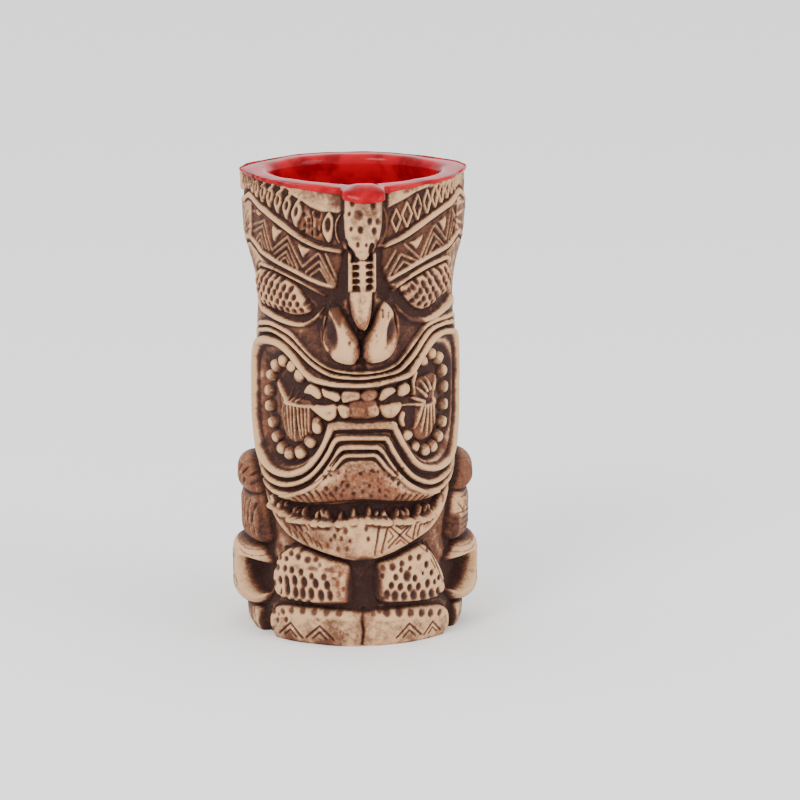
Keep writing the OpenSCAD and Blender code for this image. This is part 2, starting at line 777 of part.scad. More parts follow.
module knee_left() {
    color([0.84, 0.73, 0.59])
        knee(knee_outline, knee_pits, -1);
}

module knee_right() {
    color([0.84, 0.73, 0.59])
        knee(flip(knee_outline), flip(knee_pits), 1);
}

module foot_mass(outline, side) {
    mass(outline, [side * 16, 6.4], [1, 0.99, 0.95, 0.55], foot_h);
}

module foot_left() {
    color([0.84, 0.74, 0.6])
        foot_mass(foot_outline, -1);
}

module foot_right() {
    color([0.84, 0.74, 0.6])
        foot_mass(flip(foot_outline), 1);
}

module heel_left() {
    color([0.8, 0.68, 0.54])
        mass(heel_outline, [-56, 5], [1, 0.96, 0.7], heel_h);
}

module heel_right() {
    color([0.8, 0.68, 0.54])
        mass(flip(heel_outline), [56, 5], [1, 0.96, 0.7], heel_h);
}

cup_wall();
glaze_lining();
brow_cord_left();
brow_cord_right();
brow_zigzag_left();
brow_zigzag_right();
brow_rail_left();
brow_rail_right();
brow_lozenges_left();
brow_lozenges_right();
crest();
glaze_cap();
ladder();
eye_left();
eye_right();
eyelid_left();
eyelid_right();
cheek_left();
cheek_right();
nose_bridge();
nose_lobe_left();
nose_lobe_right();
lip_inner();
lip_middle();
lip_outer_upper();
lip_outer_lower();
teeth_upper();
teeth_lower();
teeth_ring_left();
teeth_ring_right();
throat_left();
throat_right();
muzzle();
jaw();
jaw_teeth();
upper_arm_left();
upper_arm_right();
hand_left();
hand_right();
knee_left();
knee_right();
foot_left();
foot_right();
heel_left();
heel_right();
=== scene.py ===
"""Tiki mug: builds the glazed, stained and carved surface over the mug's fixed frame."""

import math
import bpy
import numpy as np
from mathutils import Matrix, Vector


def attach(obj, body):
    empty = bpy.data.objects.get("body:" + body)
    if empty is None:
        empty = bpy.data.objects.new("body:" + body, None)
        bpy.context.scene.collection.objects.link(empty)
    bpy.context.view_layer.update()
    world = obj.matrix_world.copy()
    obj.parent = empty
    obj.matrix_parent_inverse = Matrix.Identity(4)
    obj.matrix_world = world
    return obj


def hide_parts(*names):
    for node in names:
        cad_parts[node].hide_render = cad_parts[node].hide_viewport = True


bl_info = {
    "name": "Carved Tiki Mug",
    "version": (1, 0, 0),
    "blender": (4, 5, 0),
    "location": "3D View > Sidebar > Tiki Mug",
    "description": "Models a slip-cast mug carved as a squat figure, with stained grooves and a red glaze",
    "category": "Add Mesh",
}

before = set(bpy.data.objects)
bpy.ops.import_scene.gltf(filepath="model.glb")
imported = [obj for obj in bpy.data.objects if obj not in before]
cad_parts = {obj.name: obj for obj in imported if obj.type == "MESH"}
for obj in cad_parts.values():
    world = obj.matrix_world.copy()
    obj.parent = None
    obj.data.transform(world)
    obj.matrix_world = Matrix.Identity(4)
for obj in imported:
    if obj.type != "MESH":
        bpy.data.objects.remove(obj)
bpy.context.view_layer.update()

# ---- Cup, in millimetres: distances run along the wall from the middle of the face ----

DRUM = 37.0
ROUND = 2 * math.pi * DRUM
CLAY_TOP = 164.2
SKIN = 3.4
MM = 0.001

# ---- Finish and lens ----

# Strength of the fine grain and extra stain of each clay
CLAYS = {"bone_clay": (0.5, 0.0), "brown_stained_clay": (0.7, 0.05)}
CORE_STAIN = 0.22
CLAY_ROUGH = 0.74
LENS = 206.8
LENS_SHIFT = (0.05625, -0.005)

WALL_PROFILE = (
    (0, 3, 14, 46, 58, 70, 112, 120, 126, 132, 140, 150, 165),
    (34, 35.4, 36, 36, 35.6, 35, 35, 34.6, 34.8, 35.2, 36, 36.6, 37),
)
FLARE_PROFILE = (
    (0, 120, 126, 132, 138, 144, 165),
    (0, 0, 0.15, 0.45, 0.8, 1, 1),
)
CORNER_OUT, CORNER_AT, CORNER_SPREAD = 4.0, 103.0, 17.0
FRONT_IN, FRONT_AT, FRONT_SPREAD = 4.5, 30.0, 30.0


def wall_radius(across, up):
    """Radius of the plain wall at a distance across and a height up."""
    turn = np.abs(np.degrees(np.asarray(across) / DRUM))
    share = np.interp(up, *FLARE_PROFILE)
    corner = CORNER_OUT * np.exp(-((turn - CORNER_AT) / CORNER_SPREAD) ** 2)
    front = FRONT_IN * np.exp(-((turn - FRONT_AT) / FRONT_SPREAD) ** 2)
    return np.interp(up, *WALL_PROFILE) + share * (corner - front)


# ---- Drawing helpers ----

def smoothstep(x):
    """Soft step from 0 to 1."""
    x = np.clip(x, 0, 1)
    return x * x * (3 - 2 * x)


def flat_top(t):
    """Cross section of a carved line: flat in the middle, soft at its sides."""
    return 1 - smoothstep((t - 0.3) / 0.7)


def curved(points, closed=False, steps=4):
    """Points of a smooth curve through the given ones, with their place along it."""
    p = np.array(points, float)
    n = len(p)
    rounds = n if closed else n - 1
    places = []
    for i in range(rounds):
        q = [p[(i + k) % n] if closed else p[min(max(i + k, 0), n - 1)] for k in (-1, 0, 1, 2)]
        for k in range(steps):
            t = k / steps
            curve = 0.5 * ((2 * q[1]) + (q[2] - q[0]) * t + (2 * q[0] - 5 * q[1] + 4 * q[2] - q[3]) * t * t
                           + (3 * q[1] - q[0] - 3 * q[2] + q[3]) * t ** 3)
            places.append((*curve, i + t))
    last = p[0] if closed else p[-1]
    places.append((*last, rounds))
    return np.array(places)


def straight(points, closed=False):
    """Corner points with their place along the line."""
    p = list(points) + ([points[0]] if closed else [])
    return np.array([(a, z, i) for i, (a, z) in enumerate(p)], float)


def mirrored(points):
    """The same points on the other side of the face."""
    return [(-a, z) for a, z in points]


def shifted(points, across=0.0, up=0.0):
    """The same points moved along the wall."""
    return [(a + across, z + up) for a, z in points]


class Wall:
    """Unrolled outside of the cup: carved height, stain with a little painted shade, colour and the piece of
    each spot.
    """

    def __init__(self, step, seed=11):
        self.step = step
        self.cols = 4 * round(ROUND / step / 4)
        self.rows = 2 * round(CLAY_TOP / step / 2) + 1
        self.random = np.random.default_rng(seed)
        self.a = (np.arange(self.cols) / self.cols - 0.5) * ROUND
        self.z = np.linspace(0, CLAY_TOP, self.rows)
        self.true_a, self.true_z = np.meshgrid(self.a, self.z)
        self.base = wall_radius(self.true_a, self.true_z)
        self.height = np.zeros(self.base.shape)
        self.ground = np.zeros(self.base.shape)
        self.dark = np.zeros(self.base.shape)
        self.warm = np.zeros(self.base.shape)
        self.owner = np.zeros(self.base.shape, int)
        self.names = ["cup_back"]
        self.plain()

    # Layout of the drawing on the wall

    def plain(self):
        """Draw straight on the unrolled wall."""
        self.across, self.up = self.true_a, self.true_z
        self.slack = (0.0, 0.0)

    def as_seen(self, turned=4.3, raised=13.0, limit=68.0):
        """Draw on a plain drum held in front of the face, and cast the drawing on the relief."""
        turned, limit = math.radians(turned), math.radians(limit)
        radius = self.base + self.blurred(self.height, 1.6)
        turn = self.true_a / DRUM + turned
        inner = np.clip(turn, -limit, limit)
        cast = np.arcsin(np.clip(radius * np.sin(inner) / DRUM, -0.985, 0.985))
        cast = cast + 0.95 * (turn - inner)
        self.across = DRUM * (cast - turned)
        drop = math.tan(math.radians(raised))
        self.up = self.true_z - drop * (radius * np.cos(inner) - DRUM * np.cos(np.clip(cast, -1.5, 1.5)))
        self.slack = (11.0, 4.5)

    def window(self, box, reach):
        """Rows and columns that may hold anything within reach of a box."""
        a0, a1, z0, z1 = box
        da, dz = self.slack
        pitch_a = ROUND / self.cols
        pitch_z = CLAY_TOP / (self.rows - 1)
        c0 = int(np.floor((a0 - reach - da + ROUND / 2) / pitch_a))
        c1 = int(np.ceil((a1 + reach + da + ROUND / 2) / pitch_a)) + 1
        r0 = int(np.floor((z0 - reach - dz) / pitch_z))
        r1 = int(np.ceil((z1 + reach + dz) / pitch_z)) + 1
        return (slice(max(r0, 0), max(min(r1, self.rows), 1)),
                slice(max(c0, 0), max(min(c1, self.cols), 1)))

    def near(self, path, reach):
        """Distance from a path and the place along it, in the window around the path."""
        box = (path[:, 0].min(), path[:, 0].max(), path[:, 1].min(), path[:, 1].max())
        win = self.window(box, reach)
        shape = self.across[win].shape
        gap = np.full(shape, reach * 1.5)
        place = np.zeros(shape)
        r_off, c_off = win[0].start, win[1].start
        for (a0, z0, s0), (a1, z1, s1) in zip(path[:-1], path[1:]):
            sub = self.window((min(a0, a1), max(a0, a1), min(z0, z1), max(z0, z1)), reach)
            local = (slice(sub[0].start - r_off, sub[0].stop - r_off),
                     slice(sub[1].start - c_off, sub[1].stop - c_off))
            x, y = self.across[sub] - a0, self.up[sub] - z0
            da, dz = a1 - a0, z1 - z0
            length = da * da + dz * dz
            t = np.clip((x * da + y * dz) / length, 0, 1) if length else np.zeros(x.shape)
            d = np.hypot(x - t * da, y - t * dz)
            closer = d < gap[local]
            gap[local] = np.where(closer, d, gap[local])
            place[local] = np.where(closer, s0 + t * (s1 - s0), place[local])
        return win, gap, place

    def inside(self, outline, reach=1.0):
        """Depth inside an outline, negative outside it, up to reach."""
        win, gap, _ = self.near(np.vstack([outline, outline[:1]]), reach)
        x, y = self.across[win], self.up[win]
        held = np.zeros(x.shape, bool)
        for (a0, z0, _), (a1, z1, _) in zip(outline, np.roll(outline, -1, axis=0)):
            if z0 == z1:
                continue
            crosses = ((z0 > y) != (z1 > y)) & (x < a0 + (y - z0) * (a1 - a0) / (z1 - z0))
            held ^= crosses
        gap = np.minimum(gap, reach)
        return win, np.where(held, gap, -gap)

    # Carving

    def ridge(self, points, width, rise, piece=None, closed=False, smooth=True, bright=0.0):
        """Raise a line above the ground."""
        path = curved(points, closed) if smooth else straight(points, closed)
        widths = np.atleast_1d(width)
        knots = np.linspace(0, path[-1, 2], len(widths))
        win, gap, place = self.near(path, max(widths) / 2 + 0.6)
        half = np.interp(place, knots, widths) / 2
        t = gap / np.maximum(half, 0.05)
        lift = flat_top(t * 0.82)
        up = rise * np.interp(np.abs(self.true_a[win]), (44, 56), (1, 0.2))
        raised = self.height[win] * (1 - lift) + (self.ground[win] + up) * lift
        self.height[win] = np.maximum(self.height[win], raised)
        if bright:
            self.dark[win] -= bright * flat_top(t * 0.9)
        if piece:
            self.claim_mask(piece, win, gap < half + 0.25)

    def cut(self, points, width, depth, dark=0.6, closed=False, smooth=True):
        """Cut a groove and stain it."""
        path = curved(points, closed) if smooth else straight(points, closed)
        widths = np.atleast_1d(width)
        knots = np.linspace(0, path[-1, 2], len(widths))
        win, gap, place = self.near(path, max(widths) / 2 + 0.6)
        half = np.interp(place, knots, widths) / 2
        t = gap / np.maximum(half, 0.05)
        self.height[win] -= depth * flat_top(t)
        self.dark[win] = np.maximum(self.dark[win], dark * flat_top(t * 0.85))

    def pits(self, spots, wide, tall, depth, lean=0.0, dark=0.7):
        """Press a row of oval pits, each spot with an optional size of its own."""
        turn = math.radians(lean)
        for spot in spots:
            a, z = spot[:2]
            grow = spot[2] if len(spot) > 2 else 1.0
            win = self.window((a, a, z, z), max(wide, tall) * grow * 1.7)
            x, y = self.across[win] - a, self.up[win] - z
            u = (x * math.cos(turn) - y * math.sin(turn)) / (wide * grow)
            v = (x * math.sin(turn) + y * math.cos(turn)) / (tall * grow)
            bowl = flat_top(np.sqrt(u * u + v * v) * 0.6)
            self.height[win] -= depth * bowl
            self.dark[win] = np.maximum(self.dark[win], dark * bowl)

    def level(self, points, height, soft=0.7, smooth=False, dark=None):
        """Bring the ground inside an outline to one height."""
        outline = curved(points, True)[:-1] if smooth else straight(points)
        win, deep = self.inside(outline, soft)
        share = smoothstep(deep / soft * 0.5 + 0.5)
        for field in (self.height, self.ground):
            field[win] = field[win] * (1 - share) + height * share
        if dark is not None:
            self.dark[win] = np.maximum(self.dark[win], dark * share)

    def swell(self, points, rise, edge, piece=None, power=2.2, smooth=True, floor=0.0):
        """Raise a rounded mass inside an outline."""
        outline = curved(points, True)[:-1] if smooth else straight(points)
        win, deep = self.inside(outline, edge)
        if callable(rise):
            rise = rise(self.across[win], self.up[win])
        t = np.clip(deep / edge, 0, 1)
        dome = (1 - (1 - t) ** power) ** (1 / power)
        mass = np.where(deep > 0, floor + (rise - floor) * dome, -9.0)
        for field in (self.height, self.ground):
            field[win] = np.maximum(field[win], mass)
        if piece:
            self.claim_mask(piece, win, deep > -0.3)

    def tint(self, points, dark=None, warm=None, soft=1.5, smooth=True):
        """Lay stain over an area; a few calls lay painted shade instead."""
        outline = curved(points, True)[:-1] if smooth else straight(points)
        win, deep = self.inside(outline, soft)
        share = smoothstep(deep / soft * 0.5 + 0.5)
        if dark is not None:
            if dark < 0:
                self.dark[win] = self.dark[win] * (1 - share) + dark * share
            else:
                self.dark[win] = np.maximum(self.dark[win], dark * share)
        if warm is not None:
            self.warm[win] = np.maximum(self.warm[win], warm * share)

    def claim(self, piece, points, smooth=False):
        """Give all spots inside an outline to a piece."""
        outline = curved(points, True)[:-1] if smooth else straight(points)
        win, deep = self.inside(outline, 0.1)
        self.claim_mask(piece, win, deep > 0)

    def claim_mask(self, piece, win, mask):
        """Give marked spots to a piece."""
        if piece not in self.names:
            self.names.append(piece)
        self.owner[win][mask] = self.names.index(piece)

    # Finish

    def blurred(self, field, spread):
        """Field softened over a distance; the wall runs round, its top and bottom repeat."""
        pad = self.rows // 2
        tall = np.pad(field, ((pad, pad), (0, 0)), mode="edge")
        fa = np.fft.rfftfreq(self.cols, ROUND / self.cols)
        fz = np.fft.fftfreq(len(tall), CLAY_TOP / (self.rows - 1))
        soft = np.exp(-2 * (math.pi * spread) ** 2 * (fa[None, :] ** 2 + fz[:, None] ** 2))
        return np.fft.irfft2(np.fft.rfft2(tall) * soft, s=tall.shape)[pad:-pad]

    def noise(self, spread):
        """Soft seeded noise of unit strength."""
        field = self.blurred(self.random.standard_normal(self.base.shape), spread)
        return field / field.std()

    def finish(self, wobble):
        """Uneven hand finish, and the stain that gathers in the hollows."""
        rough = 0.55 * self.noise(3.0) + 0.3 * self.noise(1.1) + 0.15 * self.noise(0.5)
        behind = smoothstep((np.abs(self.true_a) - 78) / 5)
        self.height = (self.blurred(self.height, 0.13) * (1 - behind) + self.blurred(self.height,
            0.45) * behind + wobble * rough)
        self.height = np.clip(self.height, -2.9, 12.0)
        fine = self.blurred(self.height, 0.9) - self.height
        wide = self.blurred(self.height, 3.2) - self.height
        stain = 0.44 + np.clip(1.5 * fine, -0.27, 0.5) + np.clip(0.3 * wide, -0.1, 0.22)
        stain = stain + 0.05 * self.noise(0.5) + 0.05 * self.noise(1.3) + 0.08 * self.noise(4)
        # The dark marks join the stain here; most are stain, a few are painted shade laid by tints
        stain = np.where(self.dark >= 0, np.maximum(stain, stain * 0.3 + self.dark * 0.95), stain + self.dark)
        self.stain = np.clip(self.blurred(stain, 0.12), 0, 1)
        self.warm = np.clip(self.warm * (0.78 + 0.3 * self.noise(0.9) + 0.2 * self.noise(0.35)), 0, 1)
        dz = CLAY_TOP / (self.rows - 1)
        radius = self.base + self.height
        slope_a = (np.roll(radius, -1, 1) - np.roll(radius, 1, 1)) / (2 * 2 * math.pi / self.cols)
        slope_z = np.gradient(radius, dz, axis=0)
        turn = self.true_a / DRUM
        out = np.stack([np.sin(turn), -np.cos(turn), np.zeros(turn.shape)], -1)
        side = np.stack([np.cos(turn), np.sin(turn), np.zeros(turn.shape)], -1)
        normal = out - side * (slope_a / radius)[..., None]
        normal[..., 2] -= slope_z
        self.normal = normal / np.linalg.norm(normal, axis=-1, keepdims=True)


# ---- Drawing of the figure: distance across and height up, in millimetres ----

CORD_LEFT = [(-84, 147), (-74, 150), (-66, 152.6), (-60, 154.2), (-55, 154.9), (-50, 155), (-45, 154.9),
             (-40, 153.9), (-35, 152.1), (-30, 150.1), (-25, 147.6), (-20, 145.4), (-15, 143.8),
             (-10, 143.1), (-7, 142.7)]
CORD_RIGHT = [(7, 144.3), (10, 145.5), (15, 147.5), (20, 150), (25, 152.4), (30, 154.2), (35, 155.5),
              (40, 156.2), (45, 156.4), (50, 156), (56, 154.8), (62, 153), (70, 150), (82, 146)]
RAIL_LEFT = [(-84, 133), (-74, 136), (-66, 138.2), (-60, 139.4), (-50, 139.6), (-45, 139.3), (-40, 138.5),
             (-35, 137.3), (-30, 136.1), (-25, 134.7), (-20, 132.8), (-15, 131.2), (-10, 129.7)]
RAIL_RIGHT = [(8, 131.8), (10, 132.9), (15, 135.2), (20, 137.3), (25, 139), (30, 140.2), (35, 141),
              (40, 141.4), (46, 141.6), (54, 140.6), (62, 138.6), (72, 135.4), (82, 132)]
LID_LEFT = [(-50, 126.5), (-49.3, 130), (-47, 132.5), (-44, 133.8), (-40, 134.2), (-35, 133.7),
            (-30, 132.8), (-25, 131.4), (-20, 129.4), (-15, 127.2), (-13.5, 126.6)]
LID_RIGHT = [(10.5, 128.3), (12.5, 130), (15, 131.3), (20, 133.9), (25, 135.5), (30, 136.5), (35, 137),
             (37.5, 136.4), (39, 134), (39.6, 130)]
CHEEK_LEFT = [(-58, 120), (-50, 119.2), (-45, 118.9), (-40, 118.4), (-35, 117.2), (-30, 116.1), (-25, 115.5),
              (-21, 115.9), (-18, 117.5), (-16, 119.5), (-13.8, 122.4)]
CHEEK_RIGHT = [(11.6, 123.4), (13.5, 121), (16, 118.6), (19, 117.2), (24, 116.6), (30, 117.8), (36, 119.6),
               (42, 119.6), (48, 117), (54, 114)]
EYE_LEFT = [(-49, 123), (-45, 120.6), (-38, 119.8), (-30, 119), (-25, 118.7), (-20, 119.8), (-18.4, 122),
            (-21, 124.8), (-23.5, 128.5), (-27, 130.6), (-32, 132), (-40, 133.3), (-46, 131.6), (-49, 128)]
EYE_RIGHT = [(13.2, 129.6), (15, 126), (18, 122.6), (22.5, 120.4), (27.5, 121.4), (31, 123.4), (36, 124.4),
             (40, 125.6), (40.4, 129), (38, 133.6), (35, 135.8), (29, 135.4), (22, 133.4), (17, 131.2)]
OPENING = [(0, 93.6), (-8, 93.9), (-12, 94.2), (-17, 94.9), (-20, 95.8), (-22, 98.6), (-24, 101),
    (-27, 103.6), (-30, 105.2), (-35, 106.3), (-40, 105.6), (-44, 103.6), (-47, 99), (-48.6, 92),
    (-48.8, 84), (-47.6, 77), (-45, 70.6), (-41, 65.8), (-37, 63.2), (-32, 62.4), (-26, 63.2), (-21, 65.6),
    (-17, 69.4), (-14.4, 73.4), (-13, 78), (-11, 80.8), (0, 81), (11, 80.8), (13, 78.4), (15, 75),
    (18, 70.6), (21, 67), (25, 64.8), (30, 64.4), (36, 66), (40, 69), (43, 74), (44.8, 80), (45.4, 88),
    (44.8, 95), (42.4, 101), (39, 105.2), (35, 107.6), (30, 108.4), (26, 107), (23, 104.4), (20.4, 100.4),
    (18.6, 97.2), (15, 95.8), (10, 94.8), (5, 94)]
LIP_INNER = [(0, 94.8), (-8, 95), (-13, 95.5), (-17, 96.4), (-20, 98.1), (-23, 101.2), (-26, 104.2),
    (-30, 106.9), (-34, 107.9), (-38, 107.9), (-42, 107), (-46, 104), (-49.5, 98), (-50.6, 91), (-50.4, 83),
    (-49, 76), (-46.2, 70), (-42.4, 65.6), (-38, 62.4), (-33, 60.8), (-28, 60.8), (-24, 62), (-20, 64.3),
    (-16.8, 67.8), (-14, 72.4), (-12, 77), (-10.6, 79.4), (-5, 79.9), (0, 79.9), (5, 79.9), (10.4, 79.4),
    (12, 77.6), (14.4, 73), (17.2, 68.6), (20, 65.2), (24, 63), (30, 62), (36, 63.4), (40.6, 66.2),
    (44.6, 70.4), (47.6, 77), (48.6, 85), (48.4, 93), (46.8, 100), (43, 106.4), (38.4, 110), (34, 110.9),
    (30, 110.5), (26, 108.4), (23, 105.3), (20, 101.4), (17.8, 98.6), (15, 97.2), (10, 96.1), (5, 95.3)]
LIP_MIDDLE_UPPER = [(-55, 98), (-53, 103), (-49, 107.4), (-45, 109.9), (-42, 111), (-38, 111.8), (-35, 111.9),
                    (-31, 111), (-27, 109), (-24, 107), (-21, 104.5), (-18, 102), (-15, 100.1), (-12, 98.7),
                    (-9, 98), (-5, 97.7), (0, 97.6), (5, 98.1), (10, 98.8), (13, 99.7), (16, 102), (19, 105),
                    (22, 108.8), (25, 111.8), (28, 113.3), (32, 113.8), (36, 113.7), (40, 112.6), (44, 110.2),
                    (48, 106.4), (51, 101), (53, 95)]
LIP_MIDDLE_LOWER = [(-55, 80), (-53, 73), (-49.6, 67), (-46, 62.8), (-42, 59.6), (-38, 57.5), (-33, 56.6),
                    (-28, 57), (-23, 58.6), (-19, 61.2), (-15, 65.6), (-12, 70.4), (-9.5, 75), (-5, 75.9),
                    (0, 75.9), (7.6, 75.5), (8.8, 74.6), (11, 70.5), (14, 65.7), (18, 61.1), (22, 58.6),
                    (27, 57.1), (32, 57.5), (37, 59), (42, 61.7), (46, 64.6), (50, 69), (53, 75)]
LIP_OUTER_UPPER = [(-58, 98), (-55, 104), (-50, 109), (-47, 111.2), (-43, 113), (-40, 113.8), (-36, 114.2),
                   (-32, 113.6), (-28, 112.3), (-25, 110.6), (-22.5, 108.4), (-20, 106.2), (-17, 103.7),
                   (-14, 101.8), (-11, 100.6), (-8, 99.9), (-4, 99.5), (0, 99.4), (5, 99.7), (9, 100.7),
                   (12.6, 102.6), (16, 106.3), (19.6, 110.4), (23, 113.8), (27, 115.4), (32, 115.9),
                   (38, 115.6), (43, 113.8), (48, 110.4), (53, 104)]
LIP_OUTER_LOWER = [(-58, 76), (-55, 69), (-50, 63), (-45, 58.8), (-41, 55.6), (-36, 53.6), (-31, 53.1),
                   (-26, 53.9), (-21, 56), (-17, 59), (-13, 63.6), (-10, 68), (-7.6, 71.9), (-3, 72.5),
                   (3, 72.4), (6, 71.7), (9, 67), (13, 62), (17, 58), (21, 55.8), (27, 53.9), (33, 54.3),
                   (38, 56.5), (44, 60.2), (50, 65), (54, 71)]
LIP_SMALL = [(-10.6, 64.4), (-7.6, 68.3), (-5, 69.5), (0, 69.5), (4.8, 69.2), (8, 65.2), (12, 61)]
JAW_TOP = [(-46, 55), (-40, 50.6), (-35, 47.6), (-30, 45.9), (-24, 45.4), (-17, 45), (-10, 45.2), (-4, 46),
           (0, 46.8), (4, 46.3), (10, 45.8), (17, 45), (24, 45.4), (29, 47), (34, 50), (40, 53.6), (46, 56)]

KNEE_LEFT = [(-5, 30), (-3.7, 25.5), (-3.7, 19.6), (-5.4, 16), (-12, 15.2), (-20, 15.2), (-27, 15.2),
             (-31.4, 16.8), (-33, 21), (-32.4, 27), (-29.6, 32.2), (-24.6, 35), (-18, 34.2), (-11.6, 32)]
KNEE_RIGHT = [(5, 30.2), (3.9, 25.5), (4, 19.6), (6, 16.2), (12, 15.4), (20, 14.8), (26, 14.6),
              (30, 16), (31.4, 19), (30, 25), (26.6, 31), (22.6, 35.4), (17.6, 34.6), (11, 32)]
FOOT_LEFT = [(0.4, 11.6), (0.4, -2), (-10, -2), (-22, -2), (-34, -2), (-36.8, 3), (-36.4, 8.6), (-33, 11.8),
             (-26, 13), (-17, 13.6), (-8, 13.4), (-2, 12.8)]
FOOT_RIGHT = [(-0.4, 11.6), (-0.4, -2), (10, -2), (22, -2), (34, -2), (37, 3), (36.6, 8), (33, 10.8),
              (26, 12.2), (17, 13.2), (9, 13.2), (2, 12.8)]
HEEL_LEFT = [(-43.6, -2), (-54, -2), (-64, -2), (-71, -1), (-71, 7.4), (-63, 9.8), (-54, 9.9), (-46, 9.8),
             (-43, 6)]
ARM_UPPER_LEFT = [(-49, 59), (-45, 55), (-42.8, 51), (-50, 49.6), (-60, 49.4), (-72, 50), (-78, 54),
    (-73, 60), (-64, 62.4), (-56, 62)]
ARM_LOWER_LEFT = [(-42.6, 51), (-39.4, 46), (-37.4, 40), (-36.8, 34.6), (-44, 32.6), (-54, 32), (-64, 32.4),
                  (-73, 35), (-78, 41), (-77.4, 47), (-72, 51), (-60, 51.4), (-50, 51.2)]
HAND_LEFT = [(-35.6, 24), (-36, 17.6), (-39, 12.6), (-46, 9.4), (-54, 8.4), (-63, 9.4), (-71, 12.8),
             (-76, 19), (-75, 26.6), (-68, 32), (-58, 33.8), (-48, 33.4), (-39.4, 30.6)]
HOLLOW_LEFT = [(-33, 24.4), (-33.4, 16.6), (-37.4, 14.6), (-42.4, 15.6), (-47, 18.8), (-49.6, 22.6),
    (-49, 25.8), (-45, 27), (-39, 26.8)]


def carve_masses(w, s):
    """Large forms: crest, nose, jaw, arms, knees and feet."""
    w.plain()
    a, z = w.true_a, w.true_z
    out = np.interp(z, (139.5, 141, 144, 150, 162, 166), (3.4, 4.8, 6.8, 7.8, 8.3, 8.4)) * s.crest_out / 8.3
    half = np.interp(z, (139.5, 141, 143, 147, 152, 158, 166), (1.6, 1.9, 3, 4.6, 5.2, 5.4, 5.4))
    flank = np.interp(z, (140, 146, 155, 166), (1.0, 2.0, 3.0, 3.0))
    crest = out * (1 - smoothstep((np.abs(a + 0.2) - half) / flank))
    crest[z < 140] = 0
    ladder = np.where((np.abs(a + 0.4) < 4.9) & (z > 128) & (z < 142), 2.7, 0)
    w.height = np.maximum(w.height, np.maximum(crest, ladder))
    w.ground = w.height.copy()

    def nose_out(across, up):
        return np.interp(up, (101, 104, 108, 114, 120, 125), (6, 8.6, 9, 7.8, 5.6, 3.4)) * s.nose_out / 9

    def bridge_out(across, up):
        return np.interp(up, (113, 118, 124, 129), (7.2, 6.6, 5.4, 4.0)) * s.nose_out / 9

    left_lobe = [(-0.9, 105.5), (-1.1, 109.5), (-2.6, 113), (-5, 117), (-7.6, 121), (-10, 123.8),
                 (-12.4, 121.2), (-13.7, 116), (-13.6, 110.6), (-12, 106.6), (-9.4, 103.6), (-5.6, 102.3),
                 (-2.6, 102.7)]
    right_lobe = [(-0.3, 105.5), (0, 109.5), (1.4, 113), (3.4, 117), (5.4, 121), (8, 124), (10.4, 122.4),
                  (11.9, 118.4), (12.2, 113), (11.2, 108.2), (9, 104.8), (5.6, 103), (1.8, 103)]
    bridge = [(-4.7, 128), (-4.6, 123), (-3.6, 118.6), (-1.8, 115.6), (0.4, 114.6), (2.2, 117), (3.2, 122),
              (3.4, 128.4), (0, 129.2)]
    w.swell(left_lobe, nose_out, 4.6, "nose_lobe_left")
    w.swell(right_lobe, nose_out, 4.6, "nose_lobe_right")
    w.swell(bridge, bridge_out, 1.9, "nose_bridge")

    def muzzle_out(across, up):
        return np.interp(up, (50, 53, 60, 67), (3.4, 3.7, 2.6, 0.7)) * np.interp(np.abs(across), (14, 33),
            (1, 0.55))

    w.swell([(-34, 51.6), (-28, 53.6), (-21, 56.6), (-15.6, 60), (-11.4, 65), (-7.4, 68), (0, 68.4),
        (6.8, 68), (11.2, 64.8), (15.8, 60), (21, 56.4), (27, 53.8), (33, 52.8), (24, 51.2), (12, 52.2),
        (0, 53.6), (-12, 52.4), (-24, 51)], muzzle_out, 2.2, "muzzle")

    def jaw_out(across, up):
        return np.interp(np.abs(across), (0, 20, 34, 44), (1, 0.94, 0.7, 0.35)) * s.jaw_out * np.interp(
            up, (30, 36, 46), (0.9, 1, 0.92))

    w.swell([(-44, 54.4), (-38, 50), (-33, 47.6), (-26, 46.4), (-17, 45.8), (-8, 46.2), (0, 47.4), (8, 46.8),
             (17, 46), (24, 46.2), (29, 47.8), (34, 51), (40, 54.6), (35, 49), (30, 43.6), (25, 40), (20, 38),
             (15, 35.8), (8, 33), (0, 31.2), (-8, 32.4), (-16, 34.6), (-24, 37.2), (-30, 40.4), (-35, 44.8)],
            jaw_out, 2.6, "jaw")

    for side, flip in (("left", list), ("right", mirrored)):
        w.swell(flip(ARM_UPPER_LEFT), 6.6, 5.5, "upper_arm_" + side)
        w.swell(flip(ARM_LOWER_LEFT), 4.9, 5.5, "upper_arm_" + side)
        w.swell(flip(HAND_LEFT), s.hand_out, 7.5, "hand_" + side)
        w.swell(flip(HEEL_LEFT), 3.2, 3.0, "heel_" + side)
    w.swell(KNEE_LEFT, s.knee_out, 6.4, "knee_left", power=2.5)
    w.swell(KNEE_RIGHT, s.knee_out, 6.4, "knee_right", power=2.5)
    w.swell(FOOT_LEFT, 3.9, 3.2, "foot_left")
    w.swell(FOOT_RIGHT, 3.9, 3.2, "foot_right")
    hollow = mirrored(HOLLOW_LEFT)
    w.level(HOLLOW_LEFT, -0.8, soft=1.2, smooth=True, dark=0.85)
    w.level(hollow, -0.8, soft=1.2, smooth=True, dark=0.85)


